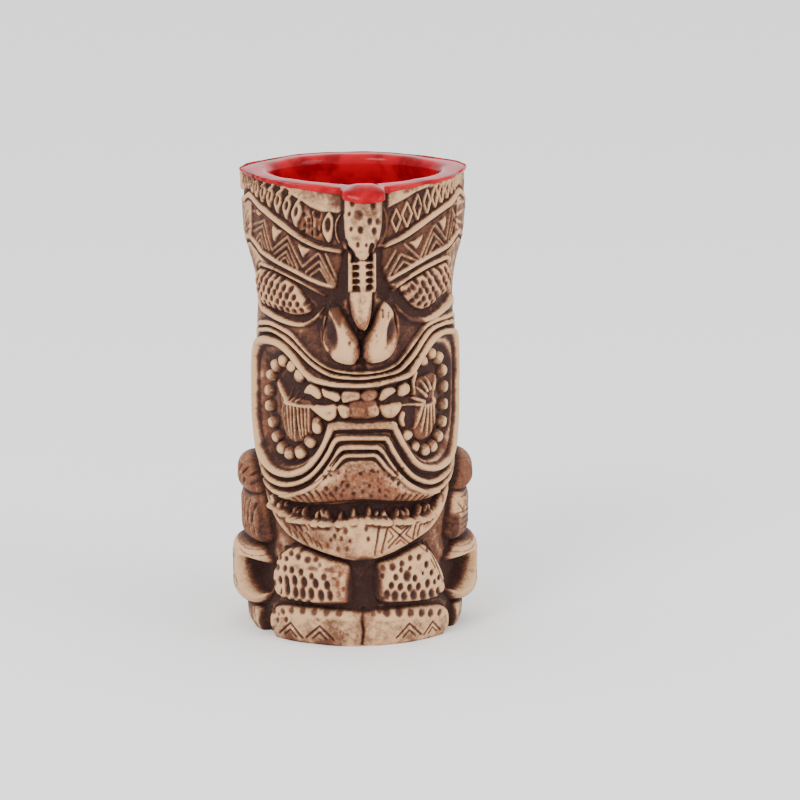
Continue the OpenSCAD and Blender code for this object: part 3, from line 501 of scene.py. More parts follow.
def claim_zones(w):
    """Share out the ground between the pieces."""
    w.plain()
    top = CLAY_TOP + 3
    w.claim("cup_front", [(-42, -5), (42, -5), (42, top), (-42, top)])
    w.claim("cup_side_left", [(-82, -5), (-40, -5), (-40, top), (-82, top)])
    w.claim("cup_side_right", [(40, -5), (82, -5), (82, top), (40, top)])
    w.claim("foot_left", [(-42, -5), (0, -5), (0, 14), (-42, 14)])
    w.claim("foot_right", [(0, -5), (42, -5), (42, 14), (0, 14)])
    w.claim("knee_left", [(-37, 14), (0, 14), (0, 36), (-37, 44)])
    w.claim("knee_right", [(0, 14), (37, 14), (37, 44), (0, 36)])
    w.claim("hand_left", [(-80, 8), (-35, 8), (-35, 32.6), (-80, 32.6)])
    w.claim("hand_right", [(35, 8), (80, 8), (80, 32.6), (35, 32.6)])
    w.claim("heel_left", [(-74, -5), (-40, -5), (-40, 9), (-74, 9)])
    w.claim("heel_right", [(40, -5), (74, -5), (74, 9), (40, 9)])
    w.claim("upper_arm_left", [(-80, 32.6), (-36, 32.6), (-40, 52), (-48, 64), (-80, 64)])
    w.claim("upper_arm_right", [(36, 32.6), (80, 32.6), (80, 64), (48, 64), (40, 52)])
    w.as_seen()
    w.claim("jaw", [(-46, 54), (-40, 49)] + [(-30, 38), (-20, 33.6), (-8, 30.6), (0, 29.6), (8, 31), (20, 36),
                    (30, 43), (40, 51), (46, 55)] + shifted(JAW_TOP[::-1], 0, 0.2)[1:-1])
    w.claim("jaw_teeth", JAW_TOP + [(40, 56), (30, 52), (20, 51), (0, 52.6), (-20, 51), (-30, 52), (-40, 54)])
    w.claim("muzzle", [(-36, 52.6), (-30, 50.2), (-20, 50.2), (-10, 51.2), (0, 52.4), (10, 51.2), (20, 50.4),
                       (30, 51), (36, 54), (20, 57), (12, 63), (7, 68), (-7, 68), (-12, 63), (-20, 56.6)])
    w.claim("cheek_left", [(-62, 98), (-60, 121)] + CHEEK_LEFT + [(-8, 124), (-0.5, 112), (-0.5, 100),
        (-20, 104), (-34, 112), (-50, 108)])
    w.claim("cheek_right", [(56, 98), (56, 114)] + CHEEK_RIGHT[::-1] + [(8, 125), (-0.5, 112), (-0.5, 100),
        (14, 103), (24, 114), (40, 114), (50, 106)])
    w.claim("eye_left", shifted(RAIL_LEFT[2:], 0, -1.1) + [(-8, 124.6)] + CHEEK_LEFT[::-1])
    w.claim("eye_right", [(-1, 128), (8, 124.6)] + CHEEK_RIGHT + [(62,
        118)] + shifted(RAIL_RIGHT[:-2][::-1], 0, -1.1))
    w.claim("brow_zigzag_left", RAIL_LEFT[1:] + [(-9, 129), (-7, 143)] + CORD_LEFT[1:][::-1])
    w.claim("brow_zigzag_right", [(7, 129.6)] + RAIL_RIGHT[:-1] + CORD_RIGHT[:-1][::-1])
    w.claim("brow_band_left", CORD_LEFT[1:] + [(-7, 170), (-75, 170)])
    w.claim("brow_band_right", CORD_RIGHT[:-1] + [(72, 170), (7, 170)])
    w.claim("ladder", [(-11, 122), (9, 122), (10, 132), (8, 143), (-8, 142.6), (-10.6, 130)])
    w.claim("nose_bridge", [(-6, 114), (5, 114), (5.4, 128), (-6.2, 128)])
    w.claim("crest", [(-8.6, 141.6), (8.6, 141.6), (9.4, 150), (9, 170), (-8.6, 170), (-9.4, 150)])


def carve_brow(w, s):
    """Crossed diamonds, twisted cord and zigzag bands over the eyes."""
    g = s.groove
    for cord, sign in ((CORD_LEFT, -1), (CORD_RIGHT, 1)):
        ends = [(75, 163.5), (7, 163.5)] if sign > 0 else [(-7, 163.5), (-75, 163.5)]
        w.level(shifted(cord, 0, 0.8) + ends, -0.75 * g)
    w.level([(-56, 140)] + RAIL_LEFT[4:] + [(-8, 129), (-6.5, 143)] + shifted(CORD_LEFT[4:][::-1], 0, -0.8),
            -0.7 * g, dark=0.6)
    w.level([(7, 130)] + RAIL_RIGHT[:-4] + shifted(CORD_RIGHT[:-4][::-1], 0, -0.8) + [(7, 144)], -0.7 * g,
        dark=0.6)

    # Plain strip under the rim, next to the crest
    w.level([(-29, 164), (-27, 161.6), (-22, 159.6), (-19, 158), (-15, 156.8), (-10, 156.3), (-6.6, 156),
        (-6.6, 170), (-29, 170)], 0.35, dark=0)
    w.level([(9, 158), (14, 160.2), (20, 162.7), (28, 165), (28, 170), (8.6, 170)], 0.35)
    w.tint([(-80, 163.4), (-60, 162.8), (-30, 163), (-7, 157), (-7, 170), (-80, 170)], dark=-0.1, soft=1)

    # Diamonds
    for a, z, wide, tall in [(-72, 157.6, 2.4, 3.6), (-67, 158.6, 2.4, 3.8), (-62, 159.4, 2.4, 3.9),
            (-57, 160, 2.4, 4), (-52, 160.4, 2.4, 4), (-47.4, 160.4, 2.3, 4), (-42.4, 160, 2.3, 4),
            (-37.7, 159.4, 2.2, 4.2), (-33.3, 158.3, 2.1, 4.4), (-29, 157, 2.1, 4.6),
            (-24.7, 155.4, 2.3, 5.2)]:
        w.swell([(a - 0.4, z - tall), (a - wide, z - 0.4), (a - 0.2, z + tall * 0.7), (a + 1.2, z + tall),
                 (a + wide, z + 0.6), (a + 0.6, z - tall * 0.7)], 0.55, 0.9, power=1.6, floor=-0.6)
        w.pits([(a + 0.1, z + 0.5)], 0.75, 1.7, 0.9 * g, lean=14, dark=0.75)
        w.ridge([(a + 0.8, z + tall * 0.6), (a + 2.6, z + tall + 1.2)], 1.1, 1.0)
    for a, z, wide, tall in [(12.1, 153.3, 1.8, 3.9), (16.4, 155, 2, 4.3), (20.8, 157.3, 1.7, 4.5),
            (25.2, 158.6, 1.7, 4.3), (29.3, 160, 1.7, 4.1), (33.1, 161, 1.6, 4), (37, 161.8, 1.6, 3.6),
            (41, 161.9, 1.6, 3.4), (45, 161.6, 1.6, 3.4), (49, 161.2, 1.6, 3.4), (53.4, 160.4, 1.7, 3.4),
            (58, 159.4, 1.7, 3.4), (62.6, 158, 1.7, 3.4), (67, 156.6, 1.7, 3.4)]:
        w.ridge([(a, z - tall), (a - wide, z), (a, z + tall), (a + wide, z + 0.3)], 0.85, 1.05, closed=True,
                smooth=False, bright=0.15)
    # Leaf and worn patch left of the crest
    w.swell([(-12.2, 145.8), (-14.2, 149), (-14.4, 152.4), (-13, 155.6), (-11.6, 156.8), (-10.3, 154.4),
             (-10.2, 150.6), (-11, 147.2)], 0.8, 0.9, power=1.6, floor=-0.4)
    w.pits([(-12.3, 152.2)], 0.95, 2.3, 1.2 * g, lean=4, dark=0.9)
    w.ridge([(-8.1, 155.4), (-9.3, 153.4), (-9.6, 150.6), (-9.2, 148), (-8.3, 146)], 0.8, 1.1)
    w.tint([(-8.2, 155), (-9, 150.6), (-7.8, 146), (-6.4, 148), (-6.4, 154)], dark=0.8, soft=0.8)
    w.tint([(-24, 151), (-21, 156.6), (-15, 157), (-14.6, 147), (-19, 147)], dark=0.22, warm=0.65)
    spots = np.column_stack([w.random.uniform(-23, -14.6, 26), w.random.uniform(147, 156, 26),
        w.random.uniform(0.5, 1.2, 26)])
    w.pits(spots, 0.6, 1.0, 0.6, lean=10, dark=0.55)
    w.ridge([(-17.6, 147.6), (-17.4, 152), (-18, 156)], 1.1, 0.9)
    w.ridge([(-20.6, 148.8), (-20.2, 152), (-21, 154)], 0.9, 0.8)

    # Zigzags
    left_lines = [
        [(-64, 141), (-58, 143), (-50, 146.8), (-41.8, 150.4), (-36.6, 140.4), (-28.6, 146.4), (-22.2, 136.4),
         (-15.8, 141.9), (-9.4, 130.2)],
        [(-60, 140.2), (-51.8, 143.4), (-43, 148.3), (-38.6, 140.2)],
        [(-35.4, 139.2), (-28.6, 143.9), (-24.2, 135.6)],
        [(-20.8, 134.6), (-15.6, 138.9), (-10.6, 130.4)],
        [(-50.6, 140.8), (-44.6, 145.3), (-40.6, 140.4)],
        [(-33.4, 138), (-29.2, 141), (-26, 136.2)],
        [(-19, 133.6), (-15.4, 136.3), (-12, 131)],
        [(-48, 140.6), (-45, 142.6), (-42.8, 140.4)],
        [(-31.6, 137.6), (-29.4, 139), (-27.8, 136.8)],
        [(-13.2, 141.6), (-8.6, 131.4)],
        [(-72, 139.6), (-64, 144.4), (-54, 149.8), (-47, 152.2)],
    ]
    right_lines = [
        [(7.4, 135.4), (11.8, 142.6)],
        [(8.8, 132.8), (13.9, 141.2), (20.4, 138.2)],
        [(15.4, 144.6), (21.8, 138.9), (28, 149), (29.6, 149.8), (36.2, 143.4), (40.4, 153)],
        [(11.4, 134.6), (15, 138.4), (18.4, 136.8)],
        [(24, 139.6), (28.4, 147), (34.2, 142.2)],
        [(26.6, 140.4), (30, 143.9), (32.8, 141.6)],
        [(38.4, 142.4), (43.6, 150), (49, 145.4), (56, 143.2), (66, 142)],
        [(41, 142.4), (44.6, 146.8), (50, 142.6)],
        [(42, 152.8), (46, 148.8), (54, 147.4), (64, 147.6), (72, 147)],
        [(44, 154), (50, 151.6), (58, 150.6), (66, 150.4)],
    ]
    for line in left_lines + right_lines:
        w.ridge(line, 1.3, 0.8, smooth=False, bright=0.2)
    for tri in ([(-36.4, 149.4), (-31.6, 148), (-35.6, 143.6)], [(-24.4, 144.4), (-19.2, 143), (-22, 139.4)],
                [(17.6, 145), (23.6, 147), (20.4, 142.4)], [(31.8, 150.6), (36, 152), (34.8, 146.8)],
                [(-49, 152.6), (-44, 152.4), (-46.6, 150.6)]):
        w.swell(tri, 0.5, 0.7, smooth=False, power=1.4, floor=-0.5)
        w.tint(tri, dark=-0.2, soft=0.6, smooth=False)
    # Cord, rail and the dark grooves beside them
    for cord in (CORD_LEFT, CORD_RIGHT):
        w.cut(shifted(cord[2:-2], 0, -1.75), 1.3, 0.35, dark=0.65)
        w.cut(shifted(cord[2:-2], 0, 1.75), 1.1, 0.25, dark=0.6)
    w.ridge(CORD_LEFT, (1.6, 2.2, 2.4, 2.5, 2.5, 2.4, 2.2, 2, 1.5, 1.4, 1.0), 1.35, "brow_cord_left",
        bright=0.3)
    w.ridge(CORD_RIGHT, (1.2, 2.2, 2.4, 2.5, 2.5, 2.3, 2, 1.6), 1.35, "brow_cord_right", bright=0.3)
    w.tint([(-24, 148.6), (-14, 145), (-7, 144), (-7, 141.6), (-16, 142.6), (-25, 146.4)], warm=0.55, soft=1)
    w.ridge(RAIL_LEFT, (1.6, 2, 2.2, 2.2, 2.1, 2, 1.8, 1.5, 1.0), 1.0, "brow_rail_left", bright=0.3)
    w.ridge(RAIL_RIGHT, (0.9, 1.5, 1.9, 2.1, 2.2, 2.2, 2, 1.6), 1.0, "brow_rail_right", bright=0.3)
    w.cut(shifted(RAIL_LEFT[2:], 0, -2.1), (1.5, 2.3, 2.3, 2, 1.8), 0.7, dark=0.75)
    w.cut(shifted(RAIL_RIGHT[:-2], 0, -1.9), (1.6, 1.7, 1.5, 1.5, 1.4), 0.6, dark=0.7)


def carve_crest(w, s):
    """Pitted crest over the nose and the little ladder under it."""
    w.pits([(-3.8, 159.6, 1.0), (3.5, 158.7, 1.1), (-4.8, 155.8, 0.7), (2.4, 153, 0.9), (5.2, 153, 1.0),
            (-4.2, 150.4, 0.7), (-0.9, 150, 1.0), (3.9, 149.6, 1.0), (-5.6, 146.4, 0.7), (-1.8, 144.8, 0.7),
            (1.2, 144.6, 0.6), (4.6, 146, 0.9)], 0.75, 1.15, 0.7, dark=0.7)
    w.pits([(-1.6, 155.2, 1.4)], 1.0, 1.1, 0.6, dark=0.45)
    w.tint([(-3.2, 157), (-0.4, 156.6), (0, 153.6), (-3, 153.4)], warm=0.7, soft=1.2)
    w.tint([(-5.4, 162), (5, 162), (5, 158), (-5.4, 159)], warm=0.3, soft=1.5)
    # Painted shade: the crest's right flank, turned away from the main light, is darkened; the warm part is
    # the rust wash
    w.tint([(6, 162), (9.4, 158), (9.6, 148), (6.2, 144), (5.8, 152)], dark=0.5, warm=0.35, soft=1)
    w.ridge([(7.6, 158), (8.6, 154), (8.4, 150), (7, 146)], 0.8, 0.5)
    w.cut([(-4.6, 143.6), (-3.4, 141.6), (-4, 139.6)], 2.2, 1.6, dark=1.0)
    w.cut([(3.2, 144.8), (2.6, 142.8), (3, 140.6)], 2.0, 1.6, dark=1.0)
    for points in ([(-11.6, 124), (-9.6, 131), (-7.2, 143.4), (-5.8, 142.6), (-5.9, 126), (-9, 123)],
                   [(5.2, 126), (5, 143.4), (7.4, 144.6), (7.4, 136), (10, 130), (10.4, 127), (8, 125)]):
        w.level(points, -1.6, soft=1.0, dark=1.0)
    for points in ([(-4.6, 141), (-4.5, 135), (-4.4, 129.4)], [(3.8, 142.6), (4.1, 136), (3.7, 130)]):
        w.ridge(points, 1.7, 1.3, bright=0.5)
    w.ridge([(-0.3, 141), (-0.2, 135), (0, 129)], 2.6, 1.0, bright=0.4)
    for z in (138.4, 135.8, 133.3, 130.9):
        w.ridge([(-2.9, z - 0.1), (2.5, z + 0.3)], 1.1, 1.1, bright=0.45)
    for z in (139.8, 137.1, 134.5, 132, 129.7):
        w.pits([(-2.5, z), (2.4, z + 0.3)], 0.95, 0.95, 1.2, dark=1.0)


def carve_eyes(w, s):
    """Scaled eyes under thin lids."""
    w.level([(-52, 120.5), (-40, 119.5), (-30, 117.3), (-22, 117), (-17, 119.6), (-11, 124.6), (-9, 128.6),
             (-20, 130.6), (-35, 134.6), (-46, 134), (-52, 129)], -1.3, soft=1.6, dark=0.6)
    w.level([(9.6, 127), (14, 122), (18, 119), (24, 118.2), (31, 120.6), (40, 122), (43, 126), (40, 134),
        (36, 136.4), (26, 135), (16, 132)], -1.3, soft=1.6, dark=0.6)
    # Painted shadow: the inner corners of both eyes, by the nose, are darkened as if shaded by the lids
    w.tint([(-27, 129.6), (-24, 125.8), (-18, 124), (-14, 118.6), (-8, 124), (-7, 130), (-16, 128.6),
        (-22, 130.6)], dark=1.0, soft=1.6)
    w.tint([(8, 130.4), (13.6, 129), (16, 124.6), (24, 120.4), (32, 122), (22, 118.4), (14, 120.6), (7, 126)],
           dark=1.0, soft=1.3)
    w.tint([(-46, 120.4), (-34, 118.6), (-22, 117.2), (-18, 119), (-24, 118.4), (-34, 119.8), (-45, 121.6)],
        dark=0.9, soft=1.0)
    w.swell(EYE_LEFT, 1.9 * s.eye_out, 4.5, "eye_left", floor=-1.0)
    w.swell(EYE_RIGHT, 1.9 * s.eye_out, 4.5, "eye_right", floor=-1.0)
    w.tint(EYE_LEFT, dark=-0.08, warm=0.3, soft=1.5)
    w.tint(EYE_RIGHT, dark=-0.08, warm=0.35, soft=1.5)
    w.tint([(13, 129), (18, 122), (26, 121.4), (30, 128), (24, 131), (16, 131)], dark=0.0, warm=0.3, soft=2.0)
    w.tint([(-30, 123.6), (-19, 123.6), (-19, 119), (-30, 119.4)], warm=0.7, soft=1.5)
    # Scales: short and round at the bottom, long and leaning under the lid
    left_low = ((-49, -45, -38, -30, -25, -20, -18), (123, 120.6, 119.8, 119, 118.7, 119.8, 122))
    left_top = ((-49, -46, -40, -32, -27, -23.5, -21, -18), (128, 131.6, 133.3, 132, 130.6, 128.5, 124.8,
        122))
    right_low = ((13.2, 15, 18, 22.5, 27.5, 31, 36, 40), (129.6, 126, 122.6, 120.4, 121.4, 123.4, 124.4,
        125.6))
    right_top = ((13.2, 17, 22, 29, 35, 38, 40.4), (129.6, 131.2, 133.4, 135.4, 135.8, 133.6, 129))
    for low, top, start, end, lean in ((left_low, left_top, -48, -18.6, 14),
            (right_low, right_top, 15, 40, -14)):
        for row, (above, tall) in enumerate(((1.4, 0.95), (3.8, 1.1), (6.4, 1.25), (9.2, 1.4), (12.1, 1.3))):
            for a in np.arange(start + 1.45 * (row % 2), end, 2.9):
                z = np.interp(a, *low) + above + w.random.uniform(-0.25, 0.25)
                if z < np.interp(a, *top) - 0.5:
                    w.pits([(a, z, w.random.uniform(0.88, 1.08))], 0.85, tall, 0.85, lean=lean * above / 6,
                        dark=0.78)
    w.ridge(LID_LEFT, (1.2, 1.5, 1.6, 1.6, 1.5, 1.4, 1.2, 0.8), 1.4, "eyelid_left", bright=0.3)
    w.ridge(LID_RIGHT, (0.9, 1.3, 1.5, 1.6, 1.6, 1.5, 1.2), 1.4, "eyelid_right", bright=0.3)
    w.ridge(CHEEK_LEFT, (3.4, 3.6, 3.2, 2.4, 1.6, 1.2, 1.1, 0.8), 1.5, "cheek_left", bright=0.25)
    w.ridge(CHEEK_RIGHT, (0.8, 1.4, 1.7, 1.9, 2.2, 3.0, 3.6, 3.6, 3), 1.5, "cheek_right", bright=0.25)


def carve_nose(w, s):
    """Nostrils, strips and brown hollows of the nose, and the dark flats beside it."""
    w.tint([(-24, 112), (-13, 116), (-9, 100.6), (-17, 104)], dark=0.72, soft=1.8)
    w.tint([(-21, 115), (-14, 120), (-10, 125), (-6, 126), (-8, 115), (-14.8, 112)], dark=0.8, soft=1.5)
    w.tint([(12, 116), (23, 114.4), (17, 107), (11, 101), (11.4, 108)], dark=0.72, soft=1.8)
    w.tint([(4, 126), (9, 124), (13, 121), (13, 115), (24, 114.6), (14, 123)], dark=0.8, soft=1.0)
    # Brown inner slopes
    w.tint([(-5, 124), (-8.6, 121.6), (-5, 112), (-1.6, 106), (-1.4, 102), (0.2, 102), (0.6, 106), (3.4, 112),
            (6, 121), (4.2, 124), (2.8, 117), (0, 114), (-2.6, 116)], dark=0.5, warm=0.9, soft=1.1)
    w.pits(np.column_stack([w.random.uniform(-6.6, 5.4, 34), w.random.uniform(103, 115, 34),
        w.random.uniform(0.5, 1.3, 34)]), 0.5, 0.7, 0.35, dark=0.55)
    w.cut([(-4.8, 127.4), (-4.2, 121), (-2.4, 115.6)], (1.2, 1.0, 0.8), 0.6, dark=0.6)
    w.cut([(3.4, 127), (3.2, 121), (1.6, 115.4)], (1.2, 1.0, 0.8), 0.6, dark=0.6)
    w.tint([(-4, 126), (-3.2, 119.4), (-0.4, 115.8), (1.6, 118), (2.6, 126)], dark=-0.25, soft=1.2)
    w.tint([(-4.4, 126.6), (-3.4, 122.6), (-2.6, 126)], warm=0.6, soft=0.8)
    # Cream strips
    w.ridge([(-11.9, 121.6), (-10, 118), (-8.3, 113), (-6.6, 108.6), (-5.0, 105.6)],
        (1.1, 1.7, 2.6, 4.0, 6.4), 0.5, bright=0.55)
    w.ridge([(9.4, 121.6), (8.3, 117), (7.2, 112), (5.8, 108), (4.6, 105.8)], (1.2, 2.0, 3.0, 4.2, 5.6), 0.5,
            bright=0.55)
    w.tint([(-9.4, 103.6), (-10.4, 108), (-9, 112), (-6.6, 110), (-2, 109), (-1.6, 104), (-5, 102.2)],
        dark=-0.35, soft=1.2)
    w.tint([(1.6, 104), (1.8, 108.6), (6, 112), (9, 111), (8.6, 106), (5, 103)], dark=-0.35, soft=1.2)
    # Nostril hollows and their outer rims
    w.ridge([(-13.2, 119.8), (-14.6, 116), (-14.8, 112), (-13.8, 108.2), (-11.6, 105)], 0.8, 0.35, bright=0.4)
    w.ridge([(11.4, 121.6), (12.8, 117.6), (13, 112.6), (12, 108)], 0.8, 0.35, bright=0.35)
    w.tint([(9.8, 118), (13, 117), (12.6, 107), (9.6, 105), (9.6, 111)], warm=0.8, soft=1.0)
    w.cut([(6.8, 121.8), (7, 119)], 0.9, 0.5, dark=0.7)
    w.cut([(8.8, 121.4), (8.6, 118.4)], 0.6, 0.3, dark=0.6)
    w.cut([(-10.8, 120.6), (-9, 116.8)], 0.7, 0.3, dark=0.55)
    w.pits([(-6.8, 120.6, 1.2), (-5.2, 118.6), (-9.6, 122.4), (-7.4, 123.4)], 0.7, 0.9, 0.5, dark=0.7)
    w.cut([(-0.6, 114.4), (-0.7, 108), (-0.6, 101)], (2.4, 4.4, 5.6), 1.2, dark=0.55)
    w.tint([(-2.6, 113), (1.4, 113), (2.4, 106), (2.6, 101.4), (-3.6, 101.4), (-3.2, 106)], dark=0.5,
        warm=1.0, soft=1.2)
    w.pits([(-1.2, 112), (0.4, 110.4), (-1.6, 108.4), (0.2, 107), (-0.8, 105), (1, 104), (-2, 103.4),
        (-0.2, 102.6)], 0.55, 0.75, 0.4, dark=0.85)
    w.tint([(-4.6, 128), (-4.8, 123), (-3, 118), (-0.6, 114.6), (1.8, 117), (3.4, 123), (3.6, 128),
        (2.2, 124), (1, 119), (-0.6, 117), (-2, 119.6), (-3.4, 124)], dark=0.5, warm=0.6, soft=0.8)
    w.tint([(-3, 118.4), (-1.4, 120.6), (0.4, 118.8), (1.6, 117.4), (-0.4, 114.8)], dark=0.3, warm=0.8,
        soft=1.2)
    # Nostrils
    w.pits([(-11.5, 113.6)], 2.1, 5.4, 2.6, lean=-10, dark=1.0)
    w.pits([(10.4, 114.4)], 1.5, 4.3, 1.9, lean=10, dark=0.9)
    w.ridge([(-13.6, 119), (-14.2, 115), (-13.7, 110.6), (-12, 107.4)], 0.9, 0.6, bright=0.6)


def carve_mouth(w, s):
    """Lips, teeth and the fluted hollows at both ends of the mouth."""
    g = s.groove
    outline = curved(OPENING, True)[:-1]
    win, deep = w.inside(outline, 7.0)
    slope = np.interp(np.abs(w.across[win]), (16, 30, 40, 47), (1.2, 2.6, 5.6, 7))
    floor = -2.5 * g * smoothstep(deep / slope + 0.06)
    for field in (w.height, w.ground):
        field[win] = np.where(deep > 0, floor, field[win])
    w.claim_mask("throat_left", win, (deep > 0) & (w.across[win] <= 0))
    w.claim_mask("throat_right", win, (deep > 0) & (w.across[win] > 0))
    shade = 0.36 * smoothstep(deep / slope * 0.9 - 0.1)
    w.dark[win] = np.maximum(w.dark[win], np.where(deep > 0, shade + 0.12, 0))
    w.tint([(36, 106), (30, 105), (37, 99), (40, 90), (39, 78), (35, 70), (42, 74), (44.6, 84), (43.6, 97)],
        dark=0.9, soft=1.2)
    w.tint([(-46, 80), (-44, 90), (-43, 99), (-38, 103.6), (-40, 96), (-42, 86)], dark=0.3, warm=0.7,
        soft=2.5)
    w.tint([(-42, 70), (-34, 64), (-24, 65.4), (-18, 72), (-26, 67), (-34, 68), (-40, 76)], dark=0.62,
        soft=1.6)
    w.tint([(18, 71), (25, 66), (34, 67.6), (40, 74), (33, 70), (25, 67.6)], dark=0.62, soft=1.6)

    # Raised lips with dark lines between them
    w.ridge(LIP_OUTER_UPPER, (1.4, 2, 2.2, 2, 1.4, 1.2, 1.1, 1, 1, 1.2, 1.7, 2, 2, 1.6), 1.5,
        "lip_outer_upper", bright=0.2)
    w.ridge(LIP_OUTER_LOWER, (1.6, 2, 2.2, 2.1, 1.9, 1.8, 1.7, 1.7, 1.9, 2.1, 2.2, 2, 1.6), 1.4,
        "lip_outer_lower", bright=0.2)
    w.ridge(LIP_SMALL, (1, 1.4, 1.3, 1.4, 1), 1.6, "lip_outer_lower", bright=0.2)
    w.ridge(LIP_MIDDLE_UPPER, (1.2, 1.8, 2.1, 2, 1.9, 1.6, 1.4, 1.3, 1.4, 1.8, 2.1, 2.2, 2.1, 1.6), 1.7,
        "lip_middle", bright=0.2)
    w.ridge(LIP_MIDDLE_LOWER, (1.4, 1.9, 2.1, 2.1, 2, 1.8, 1.7, 1.8, 2, 2.1, 2.1, 1.9, 1.5), 1.6,
        "lip_middle", bright=0.2)
    ring = curved(LIP_INNER, True)
    win, gap, _ = w.near(ring, 4.0)
    side = np.abs(w.across[win])
    half = np.interp(side, (8, 22, 36, 48), (1.15, 1.5, 1.9, 2.7))
    rise = np.interp(side, (0, 20, 40), (1.7, 2.2, 2.5))
    t = gap / half
    w.height[win] = np.maximum(w.height[win], np.maximum(w.ground[win],
        -0.3) * (gap < half) + rise * flat_top(t) - 9 * (gap >= half))
    w.dark[win] -= 0.22 * flat_top(t)
    w.claim_mask("lip_inner", win, gap < half + 0.2)
    upper_lines = [([(-54, 96), (-51.6, 102), (-48, 105.6), (-44, 108.4), (-40, 110), (-36, 110.4),
        (-32, 109.8), (-28, 107.9), (-24, 105.2), (-21, 102.6), (-18, 100), (-15, 98.3), (-12, 97.2),
        (-9, 96.5), (-5, 96.3), (0, 96.3), (5, 96.9), (10, 97.6), (14.4, 98.5), (17, 100.6), (20, 104),
        (23, 107.8), (26, 110.6), (29, 111.7), (33, 112.2), (37, 111.7), (41, 109.9), (45, 106.8),
        (49, 101)], (1, 1.2, 1.2, 1.1, 1, 1.1, 1, 0.7, 0.9, 1), 0.8), ([(-56, 99), (-53, 104.6),
        (-49, 108.6), (-45, 111), (-40, 112.6), (-36, 113), (-32, 112.3), (-28, 110.8), (-24, 108.2),
        (-20, 105), (-17, 102.6), (-14, 100.8), (-11, 99.5), (-8, 98.9), (-4, 98.5), (0, 98.4), (5, 98.9),
        (9.6, 99.8), (13, 101.2), (16.4, 104.4), (19.6, 108.2), (23, 111.9), (27, 114.2), (32, 114.9)],
        (0.9, 1, 1.1, 1, 1, 0.9, 0.9, 0.9, 0.8, 0.5), 0.75),]
    lower_lines = [([(-53, 80), (-51, 73), (-47.6, 67.2), (-43.6, 62.8), (-39, 59.8), (-33, 58.6),
        (-28, 58.8), (-23, 60.2), (-19, 62.8), (-16, 66.4), (-13.2, 71), (-10.6, 76.4), (-9, 77.8), (0, 78),
        (9.4, 77.9), (11, 75.6), (14, 70), (17, 65.2), (20, 62.2), (24, 60.1), (29, 59.3), (34, 60),
        (38.6, 62), (43, 65.2), (47, 70)], (1, 1.3, 1.3, 1.2, 1.3, 1.3, 1.2, 1.2, 1.3, 1.2, 1), 0.85),
        ([(-53, 71), (-49, 64.6), (-45, 60.8), (-41, 57.6), (-36, 55.4), (-31, 54.9), (-27, 55.5),
        (-22, 57.5), (-18, 60.2), (-14, 64.8), (-11, 69.4), (-8.6, 73.4), (-5, 74.2), (0, 74.2),
        (7.4, 73.9), (10, 69), (13, 64.4), (17, 60.1), (21, 57.2), (26, 55.6), (31, 55.7), (36, 57.4),
        (42, 60.8), (47, 65)], (1.1, 1.3, 1.4, 1.4, 1.3, 1.2, 1.2, 1.3, 1.4, 1.3, 1.1), 0.85),
        ([(-11.6, 65.6), (-8.4, 69.8), (-6, 70.9), (0, 71), (5.4, 70.6), (8.4, 67), (12.4, 61.8)],
        (0.6, 1.1, 1.2, 1.1, 0.7), 0.85), ([(-9, 64.6), (-6, 67.4), (-3, 68), (3, 68), (5, 67), (8, 63.6)],
        (0.5, 1, 1, 0.5), 0.75),]
    for points, width, dark in upper_lines + lower_lines:
        w.cut(points, width, 0.75 * g, dark=dark)
    w.tint([(-10.6, 82), (-6, 81), (8, 81), (10.8, 80), (10, 78.6), (-10, 78.6)], dark=0.3, warm=0.75,
        soft=1.0)
    w.tint([(-6, 77), (-6, 68.6), (5.4, 68.6), (8, 77)], dark=0.12, warm=0.35, soft=2)

    # Fluted hollows
    w.swell([(-34.6, 94), (-29, 88.4), (-19, 87.6), (-18.6, 77), (-22, 73.4), (-28, 72.4), (-32.4, 76),
        (-34, 85)], -1.2, 3.0, floor=-2.4)
    w.swell([(19.6, 91), (21.6, 95), (31, 96), (31.6, 86), (31, 76), (27, 72.6), (21, 74), (21, 85)], -1.1,
        3.0, floor=-2.4)
    w.tint([(-34, 94), (-31, 98.4), (-26, 97.6), (-21, 90.4), (-12, 88), (-22, 87.8), (-29.6, 89)],
        dark=0.85, soft=1.2)
    w.tint([(21.4, 96), (24.4, 100.8), (29, 100.4), (32.6, 97), (27, 95.6)], dark=0.95, soft=1.2)
    w.tint([(16, 86), (16.6, 78), (20, 77), (21.4, 85)], dark=0.95, soft=1.0)
    w.tint([(-33.6, 82), (-30, 85), (-19, 85.4), (-19, 76), (-28, 72)], dark=0.36, warm=0.45, soft=1.5)
    w.tint([(20, 80), (31, 80), (30, 74), (22, 74)], dark=0.36, warm=0.55, soft=1.5)
    w.tint([(24, 91.4), (30, 92), (30.6, 84), (25, 85.4), (22.6, 87)], dark=-0.25, soft=1.5)
    w.ridge([(-29.4, 86.4), (-32, 89.6), (-35, 93.6)], (2.2, 1.5, 0.9), 1.2, bright=0.5)
    w.ridge([(-30.4, 86.4), (-24, 86), (-17, 86.4), (-9.6, 86.8)], (1.6, 1.3, 1.5, 1.0), 1.3, bright=0.4)
    for top, low, lean in ((-29.6, 73.6, 1.4), (-28, 74, 0.6), (-26.4, 72.6, 0.4), (-24.8, 74.2, 1.4),
            (-23.2, 75, 0.8), (-21.6, 75.6, 0.3), (-20.2, 77, 0)):
        w.ridge([(top, 85.6), (top + 0.3 * lean, 80), (top + lean, low)], (1.0, 1.1, 0.6), 0.9, bright=0.3)
    for top, low in ((-31.4, 76), (-32.8, 79.6)):
        w.ridge([(top + 0.8, 84.6), (top, 80), (top + 0.6, low)], (0.7, 0.9, 0.5), 0.6, bright=0.1)
    for start, end in (((-28, 87.2), (-24.6, 91.6)), ((-26, 87.2), (-21.6, 90.6)), ((-29.4, 88), (-28, 92.4)),
                       ((-31.2, 85.4), (-33, 82.6))):
